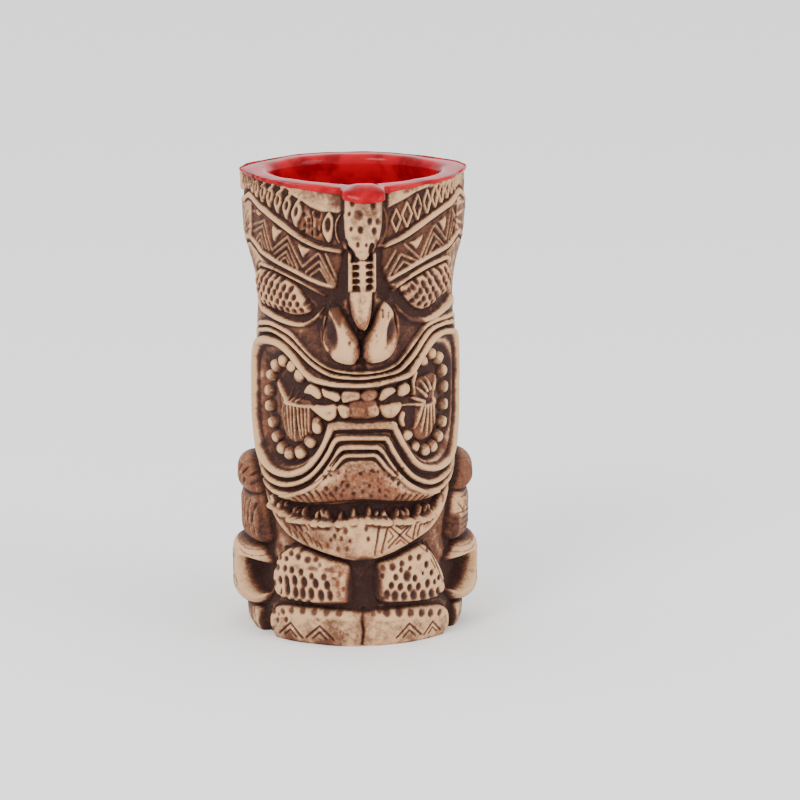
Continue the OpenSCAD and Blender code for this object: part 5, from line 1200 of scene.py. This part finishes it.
def skin_piece(w, name, coarse=1, sunk=0.22):
    """One carved piece: a grid cut to its outline, thickened and wrapped round the cup."""
    shift = w.cols // 2 if name == "cup_back" else 0
    owner = np.roll(w.owner, shift, 1)[::coarse, ::coarse]
    cells = grown(owner[:-1] == w.names.index(name))
    cells = without_corner_touches(cells)
    rows, cols = np.nonzero(cells.any(1))[0], np.nonzero(cells.any(0))[0]
    r0, r1, c0, c1 = rows[0], rows[-1] + 1, cols[0], cols[-1] + 1
    held = cells[r0:r1, c0:c1]
    high, wide = held.shape

    only()
    bpy.ops.mesh.primitive_grid_add(x_subdivisions=wide, y_subdivisions=high, size=2)
    obj = new_piece(name)
    mesh = obj.data
    count = len(mesh.polygons)
    if count != high * wide:
        raise RuntimeError("the grid has the wrong number of faces")
    centre = np.empty(count * 3)
    mesh.polygons.foreach_get("center", centre)
    centre = centre.reshape(-1, 3)
    col = np.clip(((centre[:, 0] + 1) / 2 * wide).astype(int), 0, wide - 1)
    row = np.clip(((centre[:, 1] + 1) / 2 * high).astype(int), 0, high - 1)
    spare = ~held[row, col]
    if spare.any():
        bpy.context.tool_settings.mesh_select_mode = (False, False, True)
        mesh.vertices.foreach_set("select", np.zeros(len(mesh.vertices), bool))
        mesh.edges.foreach_set("select", np.zeros(len(mesh.edges), bool))
        mesh.polygons.foreach_set("select", spare)
        bpy.ops.object.mode_set(mode="EDIT")
        bpy.ops.mesh.delete(type="FACE")
        bpy.ops.object.mode_set(mode="OBJECT")
    only(obj)
    thick = obj.modifiers.new("Wall", "SOLIDIFY")
    thick.thickness = 0.1
    thick.offset = -1
    bpy.ops.object.modifier_apply(modifier=thick.name)

    flat = coordinates(mesh)
    col = np.rint((flat[:, 0] + 1) / 2 * wide).astype(int) + c0
    row = np.rint((flat[:, 1] + 1) / 2 * high).astype(int) + r0
    front = flat[:, 2] > -0.05
    framed = np.pad(cells, 1, mode="edge")
    core = framed[:-1, :-1] & framed[1:, :-1] & framed[:-1, 1:] & framed[1:, 1:]
    edge = ~core[row, col]
    i = row * coarse
    j = (col * coarse - shift) % w.cols
    radius = np.where(front, w.base[i, j] + w.height[i, j] - sunk * edge, w.base[i, j] - SKIN)
    turn = w.a[j] / DRUM
    points = np.column_stack([radius * np.sin(turn), -radius * np.cos(turn), w.z[i]]) * MM
    place(mesh, points)
    # The stain attribute also carries the painted shade of a few tints
    attribute(mesh, "stain", np.where(front, w.stain[i, j], 0.5))
    attribute(mesh, "warm", np.where(front, w.warm[i, j], 0))
    only(obj)
    bpy.ops.object.shade_smooth()
    normal = np.where(front[:, None], w.normal[i, j],
                      np.column_stack([-np.sin(turn), np.cos(turn), np.zeros(len(turn))]))
    mesh.normals_split_custom_set_from_vertices(normal.tolist())
    return obj


def turned_piece(name, rings, around=128):
    """Hollow body: a disc extruded ring by ring, each ring given by a function of the turn."""
    only()
    bpy.ops.mesh.primitive_circle_add(vertices=around, radius=0.02, fill_type="NGON")
    obj = new_piece(name)
    bpy.ops.object.mode_set(mode="EDIT")
    bpy.ops.mesh.select_all(action="SELECT")
    for _ in rings[1:]:
        bpy.ops.mesh.extrude_region_move(TRANSFORM_OT_translate={"value": (0, 0, 0.001)})
    bpy.ops.object.mode_set(mode="OBJECT")
    mesh = obj.data
    if len(mesh.vertices) != around * len(rings):
        raise RuntimeError("a ring of the turned body is missing")
    start = coordinates(mesh)
    turn = np.arctan2(start[:, 0], -start[:, 1])
    level = np.rint(start[:, 2] / MM).astype(int)
    points = np.zeros_like(start)
    for k, ring in enumerate(rings):
        own = level == k
        radius, up = ring(turn[own] * DRUM)
        points[own, 0] = radius * np.sin(turn[own])
        points[own, 1] = -radius * np.cos(turn[own])
        points[own, 2] = up
    place(mesh, points * MM)
    only(obj)
    bpy.ops.object.mode_set(mode="EDIT")
    bpy.ops.mesh.select_all(action="SELECT")
    bpy.ops.mesh.normals_make_consistent(inside=False)
    bpy.ops.object.mode_set(mode="OBJECT")
    bpy.ops.object.shade_smooth()
    return obj


def cavity(across, up):
    """Radius of the hollow, a little narrower just under the lip."""
    lean = np.interp(up, (10, 16, 60, 150, 158, 163), (8, 6, 5.2, 5.2, 5.8, 6.8))
    return wall_radius(across, np.maximum(up, 60)) - lean


def cup_core():
    """Casting behind the carved skin, with a foot ring underneath."""
    def ring(kind, offset, up):
        def place_ring(across):
            if kind == "flat":
                return offset, up
            if kind == "wall":
                return wall_radius(across, up) - offset, up
            return cavity(across, up) + offset, up
        return place_ring

    rings = [ring("flat", 26.5, 1.3), ring("flat", 27.6, 1.1), ring("flat", 28.4, 0.3), ring("flat", 29, 0.0),
             ring("wall", 3.25, 0.0)]
    rings += [ring("wall", 3.2, up) for up in (3, 14, 30, 46, 60, 80, 100, 112, 120, 126, 132, 138, 144,
        152, 160, 163)]
    rings += [ring("cavity", 0.7, up) for up in (163, 158, 150, 140, 130, 120, 100, 80, 60, 40, 24, 14)]
    rings += [ring("flat", 25, 9), ring("flat", 20, 7.9)]
    return turned_piece("cup_wall", rings)


def glaze_body(w):
    """Red glaze: floor, inside wall, the thick lip and its rolled outer edge."""
    rows = w.z.searchsorted(162.2)
    top = w.blurred(w.height, 0.5)[rows]
    reach = round(1.1 / w.step)
    top = np.max([np.roll(top, k) for k in range(-reach, reach + 1)], axis=0)
    spread = w.a

    def rim_out(across):
        return wall_radius(across, 164) + np.maximum(np.interp(across, spread, top, period=ROUND), -0.4)

    def wave(across, k, phase):
        turn = across / DRUM
        return 0.5 * np.sin(k * turn + phase) + 0.3 * np.sin((2 * k + 1) * turn + 2.1 * phase)

    low_at = (-116, -60, -40, -30, -20, -12, -7.4, -5.2, -3.2, -1.2, 0.8, 2.8, 4.8, 6.8, 8.8, 12, 16, 26,
        40, 60, 116)
    low_up = (163.5, 163.7, 163.8, 163.2, 162.6, 162.4, 162.2, 161.8, 161.3, 160.9, 160.8, 160.9, 161.2,
        161.7, 162.3, 162.6, 163.1, 163.6, 163.9, 163.7, 163.5)

    def low(across):
        return np.interp(across, low_at, low_up) + 0.12 * wave(across, 9, 0.6)

    def opening(across):
        turn = np.abs(np.degrees(across / DRUM))
        return np.interp(turn, (0, 20, 47, 75, 100, 115, 140, 180), (25.6, 25.5, 25.9, 28.6, 31.0, 31.2,
            30.6, 30.4))

    def glob(across):
        return smoothstep((7.6 - np.abs(across - 0.8)) / 5.4)

    def lip_ring(share, up, out=0.0):
        def place_ring(across):
            inner, outer = opening(across), rim_out(across)
            roll = 0.12 * wave(across, 7, 1.3) * (up > 164)
            full = math.sin(math.pi * min(max(share, 0), 1) ** 1.6)
            dip = 0.25 * full * np.exp(-((np.abs(across) - 9.5) / 4) ** 2)
            return (inner + (outer - inner) * share + out + 0.5 * full * glob(across),
                    up + roll + 1.5 * full * glob(across) - dip)
        return place_ring

    def edge_ring(out, above):
        def place_ring(across):
            side = np.interp(np.abs(across), (36, 50), (1, 0.35))
            return (rim_out(across) + out * side + 0.1 * wave(across, 11,
                0.2) + 0.5 * glob(across) * (out > 0), low(across) + above)
        return place_ring

    rings = [lambda a: (12.0, 8.55), lambda a: (21.0, 8.7), lambda a: (25.6, 9.6)]
    for up in (12, 16, 24, 40, 60, 80, 100, 120, 130, 140, 148, 154):
        rings.append(lambda a, up=up: (cavity(a, up), up))
    for share, up in ((-0.02, 158.5), (-0.05, 161), (-0.03, 162.8), (0.04, 164.0), (0.16, 164.75),
            (0.34, 165.0), (0.55, 165.0), (0.74, 165.0), (0.88, 164.95)):
        rings.append(lip_ring(share, up))
    rings += [lip_ring(0.97, 164.8, 0.15), lip_ring(1.0, 164.45, 0.55), edge_ring(0.95, 1.5),
        edge_ring(1.25, 0.9), edge_ring(1.1, 0.35), edge_ring(0.5, 0.0), edge_ring(-0.6, -0.05)]
    rings += [lip_ring(0.8, 162.2), lip_ring(0.3, 161.6)]
    for up in (156, 150, 140, 120, 100, 80, 60, 40, 24, 16, 12):
        rings.append(lambda a, up=up: (cavity(a, up) + 0.75, up))
    rings += [lambda a: (25.4, 8.6), lambda a: (12.0, 7.95)]
    return turned_piece("glaze", rings, 256)


# ---- Materials ----

def srgb(r, g, b):
    """Scene colour of a screen colour given from 0 to 255."""
    return tuple((v / 255 / 12.92 if v <= 10.3 else ((v / 255 + 0.055) / 1.055) ** 2.4) for v in (r, g, b))


def node(tree, kind, at, **values):
    """Add a node, with its settings and the values of its named inputs."""
    made = tree.nodes.new(kind)
    made.location = at
    for key, value in values.items():
        if key.startswith("in_"):
            made.inputs[key[3:].replace("_", " ")].default_value = value
        else:
            setattr(made, key, value)
    return made


def mix_colours(tree, at, factor, a, b, blend="MIX"):
    """Mix two colours by a factor; each may be a socket or a colour."""
    made = node(tree, "ShaderNodeMix", at, data_type="RGBA", blend_type=blend)
    for socket, value in ((made.inputs[0], factor), (made.inputs[6], a), (made.inputs[7], b)):
        if isinstance(value, bpy.types.NodeSocket):
            tree.links.new(value, socket)
        else:
            socket.default_value = value
    return made.outputs[2]


def maths(tree, at, operation, a, b=0.0, plus=0.0, clamp=False):
    """One sum; each term may be a socket or a number, and only MULTIPLY_ADD uses the third."""
    made = node(tree, "ShaderNodeMath", at, operation=operation, use_clamp=clamp)
    for socket, value in ((made.inputs[0], a), (made.inputs[1], b), (made.inputs[2], plus)):
        if isinstance(value, bpy.types.NodeSocket):
            tree.links.new(value, socket)
        else:
            socket.default_value = value
    return made.outputs[0]


def ramp(tree, at, value, low, high):
    """Soft mask that rises between two values."""
    made = node(tree, "ShaderNodeMapRange", at, interpolation_type="SMOOTHSTEP", in_From_Min=low,
        in_From_Max=high)
    tree.links.new(value, made.inputs["Value"])
    return made.outputs["Result"]


def noise(tree, at, where, scale, detail=3.0, rough=0.55):
    """Noise on object coordinates."""
    made = node(tree, "ShaderNodeTexNoise", at, in_Scale=scale, in_Detail=detail, in_Roughness=rough)
    tree.links.new(where, made.inputs["Vector"])
    return made.outputs["Fac"]


def stain_group():
    """Shader group: wiped stain that stays in the hollows of pale clay."""
    found = bpy.data.node_groups.get("Wiped stain")
    if found:
        return found
    tree = bpy.data.node_groups.new("Wiped stain", "ShaderNodeTree")
    face = tree.interface
    for name, kind in (("Stain", "NodeSocketFloat"), ("Warm", "NodeSocketFloat"), ("Pale", "NodeSocketColor"),
                       ("Tan", "NodeSocketColor"), ("Brown", "NodeSocketColor"), ("Deep", "NodeSocketColor"),
                       ("Rust", "NodeSocketColor"), ("Grain", "NodeSocketFloat")):
        face.new_socket(name=name, in_out="INPUT", socket_type=kind)
    for name, kind in (("Color", "NodeSocketColor"), ("Roughness", "NodeSocketFloat"),
            ("Height", "NodeSocketFloat")):
        face.new_socket(name=name, in_out="OUTPUT", socket_type=kind)
    taken = node(tree, "NodeGroupInput", (-1400, 0))
    given = node(tree, "NodeGroupOutput", (1200, 0))
    where = node(tree, "ShaderNodeTexCoord", (-1400, -400)).outputs["Object"]
    cloud = noise(tree, (-1150, -300), where, 260)
    blotch = noise(tree, (-1150, -500), where, 900, 4, 0.6)
    speck = noise(tree, (-1150, -700), where, 2600, 3, 0.6)
    uneven = maths(tree, (-900, -400), "MULTIPLY_ADD", cloud, 0.3, -0.15)
    patchy = maths(tree, (-900, -600), "MULTIPLY_ADD", blotch, 0.5, -0.25)
    grainy = maths(tree, (-900, -800), "MULTIPLY", maths(tree, (-1000, -800), "SUBTRACT", speck, 0.5),
        taken.outputs["Grain"])
    stain = maths(tree, (-700, 0), "ADD", taken.outputs["Stain"], uneven)
    stain = maths(tree, (-550, 0), "ADD", stain, patchy)
    stain = maths(tree, (-400, 0), "ADD", stain, grainy, clamp=True)
    colour = mix_colours(tree, (-150, 200), ramp(tree, (-300, 200), stain, 0.12, 0.42),
        taken.outputs["Pale"], taken.outputs["Tan"])
    colour = mix_colours(tree, (50, 200), ramp(tree, (-100, 0), stain, 0.32, 0.62), colour,
        taken.outputs["Brown"])
    rust = maths(tree, (0, -300), "MULTIPLY", taken.outputs["Warm"], ramp(tree, (-200, -300), blotch, 0.25,
        0.6))
    rust = maths(tree, (150, -300), "MULTIPLY", rust, 0.85)
    colour = mix_colours(tree, (250, 200), rust, colour, taken.outputs["Rust"])
    colour = mix_colours(tree, (450, 200), ramp(tree, (250, 0), stain, 0.58, 1.02), colour,
        taken.outputs["Deep"])
    shade = ramp(tree, (450, -100), speck, 0.62, 0.72)
    shade = maths(tree, (600, -100), "MULTIPLY", shade, 0.22)
    colour = mix_colours(tree, (750, 200), shade, colour, taken.outputs["Brown"])
    rough = maths(tree, (500, -300), "MULTIPLY_ADD", stain, 0.16, CLAY_ROUGH)
    rough = maths(tree, (750, -300), "MULTIPLY_ADD", blotch, 0.12, rough)
    height = maths(tree, (600, -600), "MULTIPLY_ADD", speck, 0.35, blotch)
    tree.links.new(colour, given.inputs["Color"])
    tree.links.new(rough, given.inputs["Roughness"])
    tree.links.new(height, given.inputs["Height"])
    return tree


def clay_material(name, colours):
    """Stained clay under a thin satin glaze."""
    grain, lean = CLAYS[name]
    found = bpy.data.materials.get("mug_" + name)
    if found:
        return found
    made = bpy.data.materials.new("mug_" + name)
    made.use_nodes = True
    tree = made.node_tree
    shader = tree.nodes["Principled BSDF"]
    shader.inputs["IOR"].default_value = 1.4
    shader.inputs["Coat Weight"].default_value = 0.08
    shader.inputs["Coat Roughness"].default_value = 0.2
    wash = node(tree, "ShaderNodeGroup", (-400, 100))
    wash.node_tree = stain_group()
    stain = node(tree, "ShaderNodeAttribute", (-800, 200), attribute_name="stain").outputs["Fac"]
    if lean:
        stain = maths(tree, (-620, 200), "ADD", stain, lean, clamp=True)
    tree.links.new(stain, wash.inputs["Stain"])
    tree.links.new(node(tree, "ShaderNodeAttribute", (-800, 0), attribute_name="warm").outputs["Fac"],
                   wash.inputs["Warm"])
    for socket, colour in (("Pale", colours.pale), ("Tan", colours.tan), ("Brown", colours.brown),
            ("Deep", colours.deep), ("Rust", colours.rust)):
        wash.inputs[socket].default_value = (*colour, 1)
    wash.inputs["Grain"].default_value = grain
    bump = node(tree, "ShaderNodeBump", (-150, -250), in_Strength=0.35, in_Distance=0.0001)
    tree.links.new(wash.outputs["Height"], bump.inputs["Height"])
    tree.links.new(bump.outputs["Normal"], shader.inputs["Normal"])
    tree.links.new(wash.outputs["Color"], shader.inputs["Base Color"])
    tree.links.new(wash.outputs["Roughness"], shader.inputs["Roughness"])
    return made


def glaze_material(colours):
    """Thick red glaze, mottled darker and flecked lighter by noise."""
    found = bpy.data.materials.get("mug_red_glaze")
    if found:
        return found
    made = bpy.data.materials.new("mug_red_glaze")
    made.use_nodes = True
    tree = made.node_tree
    shader = tree.nodes["Principled BSDF"]
    shader.inputs["IOR"].default_value = 1.2
    shader.inputs["Specular IOR Level"].default_value = 0.3
    shader.inputs["Coat Weight"].default_value = 0.1
    shader.inputs["Coat Roughness"].default_value = 0.05
    where = node(tree, "ShaderNodeTexCoord", (-1200, 0)).outputs["Object"]
    cloud = noise(tree, (-950, 0), where, 120, 3, 0.5)
    mottle = noise(tree, (-950, -250), where, 700, 3, 0.6)
    colour = mix_colours(tree, (-400, 100), ramp(tree, (-650, 100), cloud, 0.35, 0.65),
        (*colours.glaze_deep, 1), (*colours.glaze, 1))
    colour = mix_colours(tree, (-200, 100), maths(tree, (-400, -150), "MULTIPLY",
        ramp(tree, (-650, -150), mottle, 0.5, 0.75), 0.3), colour, (*colours.glaze_light, 1))
    tree.links.new(colour, shader.inputs["Base Color"])
    rough = maths(tree, (-200, -200), "MULTIPLY_ADD", mottle, 0.12, 0.08)
    tree.links.new(rough, shader.inputs["Roughness"])
    bump = node(tree, "ShaderNodeBump", (-200, -400), in_Strength=0.15, in_Distance=0.0006)
    tree.links.new(cloud, bump.inputs["Height"])
    tree.links.new(bump.outputs["Normal"], shader.inputs["Normal"])
    return made


def finish_piece(obj, nodes, material):
    """Give a piece its finish and its place in the frame."""
    obj.data.materials.clear()
    obj.data.materials.append(material)
    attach(obj, "root")
    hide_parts(*nodes)


# ---- Settings ----

class MugCarving(bpy.types.PropertyGroup):
    """Sizes of the carving."""

    fineness: bpy.props.FloatProperty(
        name="Fineness", description="Distance between points of the carved surface", default=0.00032,
        min=0.0002, max=0.002, unit="LENGTH", precision=5)
    wobble: bpy.props.FloatProperty(name="Hand wobble", description="Unevenness left by hand finishing",
        default=0.00008, min=0.0, max=0.0005, unit="LENGTH", precision=5)
    groove: bpy.props.FloatProperty(name="Groove depth",
        description="Depth of all the grooves against their drawn depth", default=1.0, min=0.4, max=1.3,
        subtype="FACTOR")
    crest_out: bpy.props.FloatProperty(name="Crest", description="How far the crest stands out",
        default=0.0083, min=0.005, max=0.0088, unit="LENGTH")
    nose_out: bpy.props.FloatProperty(name="Nose", description="How far the nose stands out", default=0.009,
        min=0.006, max=0.0105, unit="LENGTH")
    eye_out: bpy.props.FloatProperty(
        name="Eyes", description="How full the eyes are", default=1.0, min=0.5, max=1.5, subtype="FACTOR")
    jaw_out: bpy.props.FloatProperty(
        name="Jaw", description="How far the lower jaw stands out", default=0.005, min=0.003, max=0.0065,
        unit="LENGTH")
    hand_out: bpy.props.FloatProperty(name="Hands", description="How far the hands stand out at the hips",
        default=0.0082, min=0.005, max=0.0095, unit="LENGTH")
    knee_out: bpy.props.FloatProperty(name="Knees", description="How far the knees stand out",
        default=0.007, min=0.004, max=0.009, unit="LENGTH")


def colour_property(name, description, default):
    """A colour setting."""
    return bpy.props.FloatVectorProperty(name=name, description=description, subtype="COLOR", size=3,
        min=0.0, max=1.0, default=default)


class MugColours(bpy.types.PropertyGroup):
    """Colours of the clay, the stain and the glaze."""

    pale: colour_property("Pale clay", "Clay on the ridges, where the stain is wiped off",
        srgb(200, 157, 115))
    tan: colour_property("Tan", "Thin stain on the slopes", srgb(152, 115, 85))
    brown: colour_property("Brown stain", "Stain in shallow grooves", srgb(98, 57, 37))
    deep: colour_property("Deep stain", "Stain in the deepest grooves", srgb(42, 17, 11))
    rust: colour_property("Rust wash", "Warm brown wash on the muzzle and the nose", srgb(124, 69, 41))
    glaze: colour_property("Glaze", "Red glaze", srgb(176, 3, 25))
    glaze_deep: colour_property("Deep glaze", "Darker patches of the glaze", srgb(126, 1, 13))
    glaze_light: colour_property("Light glaze", "Lighter flecks of the glaze", srgb(194, 18, 40))


class MugStage(bpy.types.PropertyGroup):
    """Floor, light and camera."""

    floor_size: bpy.props.FloatProperty(
        name="Floor", description="Width of the floor", default=6.0, min=1.0, unit="LENGTH")
    floor_colour: colour_property("Floor colour", "Colour of the plain floor", (0.93, 0.93, 0.93))
    sky: bpy.props.FloatProperty(
        name="Soft light", description="Strength of the light from all round", default=1.6, min=0.0)
    key: bpy.props.FloatProperty(
        name="Main light", description="Strength of the light at the upper left", default=14.0, min=0.0)
    fill: bpy.props.FloatProperty(
        name="Second light", description="Strength of the light at the right", default=7.0, min=0.0)
    camera_away: bpy.props.FloatProperty(
        name="Camera distance", description="Distance from the camera to the mug", default=1.65, min=0.5,
        unit="LENGTH")
    camera_turn: bpy.props.FloatProperty(
        name="Camera turn", description="Angle of the camera round the mug", default=math.radians(-4.3),
        unit="ROTATION")
    camera_raise: bpy.props.FloatProperty(name="Camera height",
        description="Angle of the camera above the mug's middle", default=math.radians(13), unit="ROTATION")


# ---- Operators ----

class MugOperator:
    """Parts that all the mug's operators share."""

    bl_options = {"REGISTER", "UNDO"}
    pieces = ()
    slot = "bone_clay"

    def execute(self, context):
        """Build each piece and give it its finish."""
        w = carved_wall(context.scene.mug_carving)
        for name in self.pieces:
            obj = skin_piece(w, name, 2 if name == "cup_back" else 1)
            material = clay_material(self.slot, context.scene.mug_colours)
            finish_piece(obj, PIECES.get(name, (name,)), material)
        return {"FINISHED"}


class MUG_OT_cup(MugOperator, bpy.types.Operator):
    """Model the cup's casting and its plain sides and back"""

    bl_idname = "mug.cup"
    bl_label = "Cup wall"
    pieces = ("cup_back", "cup_front", "cup_side_left", "cup_side_right")

    def execute(self, context):
        """Build the casting, then the skin over it."""
        core = cup_core()
        attribute(core.data, "stain", np.full(len(core.data.vertices), CORE_STAIN))
        attribute(core.data, "warm", np.zeros(len(core.data.vertices)))
        finish_piece(core, ("cup_wall",), clay_material("bone_clay", context.scene.mug_colours))
        return super().execute(context)


class MUG_OT_glaze(MugOperator, bpy.types.Operator):
    """Model the red glaze inside the cup and over its lip"""

    bl_idname = "mug.glaze"
    bl_label = "Glaze"

    def execute(self, context):
        """Build the glaze as one flowing body."""
        obj = glaze_body(carved_wall(context.scene.mug_carving))
        finish_piece(obj, ("glaze_lining", "glaze_cap"),
            glaze_material(context.scene.mug_colours))
        return {"FINISHED"}


class MUG_OT_brow(MugOperator, bpy.types.Operator):
    """Model the brow: bands of diamonds, cords, zigzags and rails"""

    bl_idname = "mug.brow"
    bl_label = "Brow"
    pieces = tuple(part + side for part in ("brow_band", "brow_cord", "brow_zigzag", "brow_rail")
                   for side in ("_left", "_right"))


class MUG_OT_crest(MugOperator, bpy.types.Operator):
    """Model the crest and the ladder under it"""

    bl_idname = "mug.crest"
    bl_label = "Crest and ladder"
    pieces = ("crest", "ladder")


class MUG_OT_lids(MugOperator, bpy.types.Operator):
    """Model the eyelids and the cheeks"""

    bl_idname = "mug.lids"
    bl_label = "Eyelids and cheeks"
    pieces = ("eyelid_left", "eyelid_right", "cheek_left", "cheek_right")


class MUG_OT_eyes(MugOperator, bpy.types.Operator):
    """Model the scaled eyes"""

    bl_idname = "mug.eyes"
    bl_label = "Eyes"
    slot = "brown_stained_clay"
    pieces = ("eye_left", "eye_right")


class MUG_OT_nose(MugOperator, bpy.types.Operator):
    """Model the nose"""

    bl_idname = "mug.nose"
    bl_label = "Nose"
    pieces = ("nose_bridge", "nose_lobe_left", "nose_lobe_right")


class MUG_OT_lips(MugOperator, bpy.types.Operator):
    """Model the ringed lips"""

    bl_idname = "mug.lips"
    bl_label = "Lips"
    pieces = ("lip_inner", "lip_middle", "lip_outer_upper", "lip_outer_lower")


class MUG_OT_throat(MugOperator, bpy.types.Operator):
    """Model the fluted hollows of the mouth"""

    bl_idname = "mug.throat"
    bl_label = "Mouth hollows"
    slot = "brown_stained_clay"
    pieces = ("throat_left", "throat_right")


class MUG_OT_teeth(MugOperator, bpy.types.Operator):
    """Model the rows and rings of teeth"""

    bl_idname = "mug.teeth"
    bl_label = "Teeth"
    pieces = ("teeth_upper", "teeth_lower", "teeth_ring_left", "teeth_ring_right")


class MUG_OT_muzzle(MugOperator, bpy.types.Operator):
    """Model the speckled muzzle"""

    bl_idname = "mug.muzzle"
    bl_label = "Muzzle"
    slot = "brown_stained_clay"
    pieces = ("muzzle",)


class MUG_OT_jaw(MugOperator, bpy.types.Operator):
    """Model the jaw and the points along it"""

    bl_idname = "mug.jaw"
    bl_label = "Jaw"
    pieces = ("jaw", "jaw_teeth")


class MUG_OT_arms(MugOperator, bpy.types.Operator):
    """Model the upper arms"""

    bl_idname = "mug.arms"
    bl_label = "Upper arms"
    slot = "brown_stained_clay"
    pieces = ("upper_arm_left", "upper_arm_right")


class MUG_OT_hands(MugOperator, bpy.types.Operator):
    """Model the hands on the hips"""

    bl_idname = "mug.hands"
    bl_label = "Hands"
    pieces = ("hand_left", "hand_right")


class MUG_OT_legs(MugOperator, bpy.types.Operator):
    """Model the knees, feet and heels"""

    bl_idname = "mug.legs"
    bl_label = "Knees and feet"
    pieces = ("knee_left", "knee_right", "foot_left", "foot_right", "heel_left", "heel_right")


class MUG_OT_stage(bpy.types.Operator):
    """Set the floor, the soft light and the camera"""

    bl_idname = "mug.stage"
    bl_label = "Floor, light and camera"
    bl_options = {"REGISTER", "UNDO"}

    def execute(self, context):
        """Build the stage round the mug."""
        stage = context.scene.mug_stage
        only()
        bpy.ops.mesh.primitive_plane_add(size=stage.floor_size, location=(0, 0, 0))
        floor = new_piece("floor")
        paint = bpy.data.materials.new("floor_paint")
        paint.use_nodes = True
        shader = paint.node_tree.nodes["Principled BSDF"]
        shader.inputs["Base Color"].default_value = (*stage.floor_colour, 1)
        shader.inputs["Roughness"].default_value = 0.9
        floor.data.materials.append(paint)

        world = context.scene.world or bpy.data.worlds.new("Soft light")
        context.scene.world = world
        world.use_nodes = True
        back = world.node_tree.nodes["Background"]
        back.inputs["Color"].default_value = (1, 1, 1, 1)
        back.inputs["Strength"].default_value = stage.sky

        middle = Vector((0, 0, 0.0825))
        for name, at, size, power in (("main_light", (-0.75, -1.05, 1.15), 0.7, stage.key),
                ("second_light", (1.1, -0.7, 0.7), 0.8, stage.fill)):
            bpy.ops.object.light_add(type="AREA", location=at)
            light = bpy.context.object
            light.name = name
            light.data.shape = "DISK"
            light.data.size = size
            light.data.energy = power
            light.rotation_euler = (middle - Vector(at)).to_track_quat("-Z", "Y").to_euler()

        flat = math.cos(stage.camera_raise) * stage.camera_away
        at = middle + Vector((math.sin(stage.camera_turn) * flat, -math.cos(stage.camera_turn) * flat,
            math.sin(stage.camera_raise) * stage.camera_away))
        bpy.ops.object.camera_add(location=at)
        camera = bpy.context.object
        camera.name = "camera"
        camera.rotation_euler = (middle - at).to_track_quat("-Z", "Y").to_euler()
        camera.data.sensor_width = 36
        camera.data.lens = LENS
        camera.data.shift_x, camera.data.shift_y = LENS_SHIFT
        context.scene.camera = camera
        return {"FINISHED"}


class MUG_PT_panel(bpy.types.Panel):
    """Panel with the mug's settings and steps"""

    bl_idname = "MUG_PT_panel"
    bl_label = "Tiki Mug"
    bl_space_type = "VIEW_3D"
    bl_region_type = "UI"
    bl_category = "Tiki Mug"

    def draw(self, context):
        """List the steps, then the settings."""
        column = self.layout.column(align=True)
        for step in STEPS:
            column.operator(step.bl_idname)
        for group in (context.scene.mug_carving, context.scene.mug_colours, context.scene.mug_stage):
            box = self.layout.box()
            for name in group.__annotations__:
                box.prop(group, name)


STEPS = (MUG_OT_cup, MUG_OT_glaze, MUG_OT_brow, MUG_OT_crest, MUG_OT_lids, MUG_OT_eyes, MUG_OT_nose,
    MUG_OT_lips, MUG_OT_throat, MUG_OT_teeth, MUG_OT_muzzle, MUG_OT_jaw, MUG_OT_arms, MUG_OT_hands,
    MUG_OT_legs, MUG_OT_stage)
CLASSES = (MugCarving, MugColours, MugStage) + STEPS + (MUG_PT_panel,)


def register():
    """Register the add-on."""
    for cls in CLASSES:
        bpy.utils.register_class(cls)
    bpy.types.Scene.mug_carving = bpy.props.PointerProperty(type=MugCarving)
    bpy.types.Scene.mug_colours = bpy.props.PointerProperty(type=MugColours)
    bpy.types.Scene.mug_stage = bpy.props.PointerProperty(type=MugStage)


def unregister():
    """Take the add-on out again."""
    del bpy.types.Scene.mug_carving, bpy.types.Scene.mug_colours, bpy.types.Scene.mug_stage
    for cls in reversed(CLASSES):
        bpy.utils.unregister_class(cls)


def main():
    """Build the whole mug."""
    register()
    for step in STEPS:
        group, name = step.bl_idname.split(".")
        getattr(getattr(bpy.ops, group), name)()


if __name__ == "__main__":
    main()
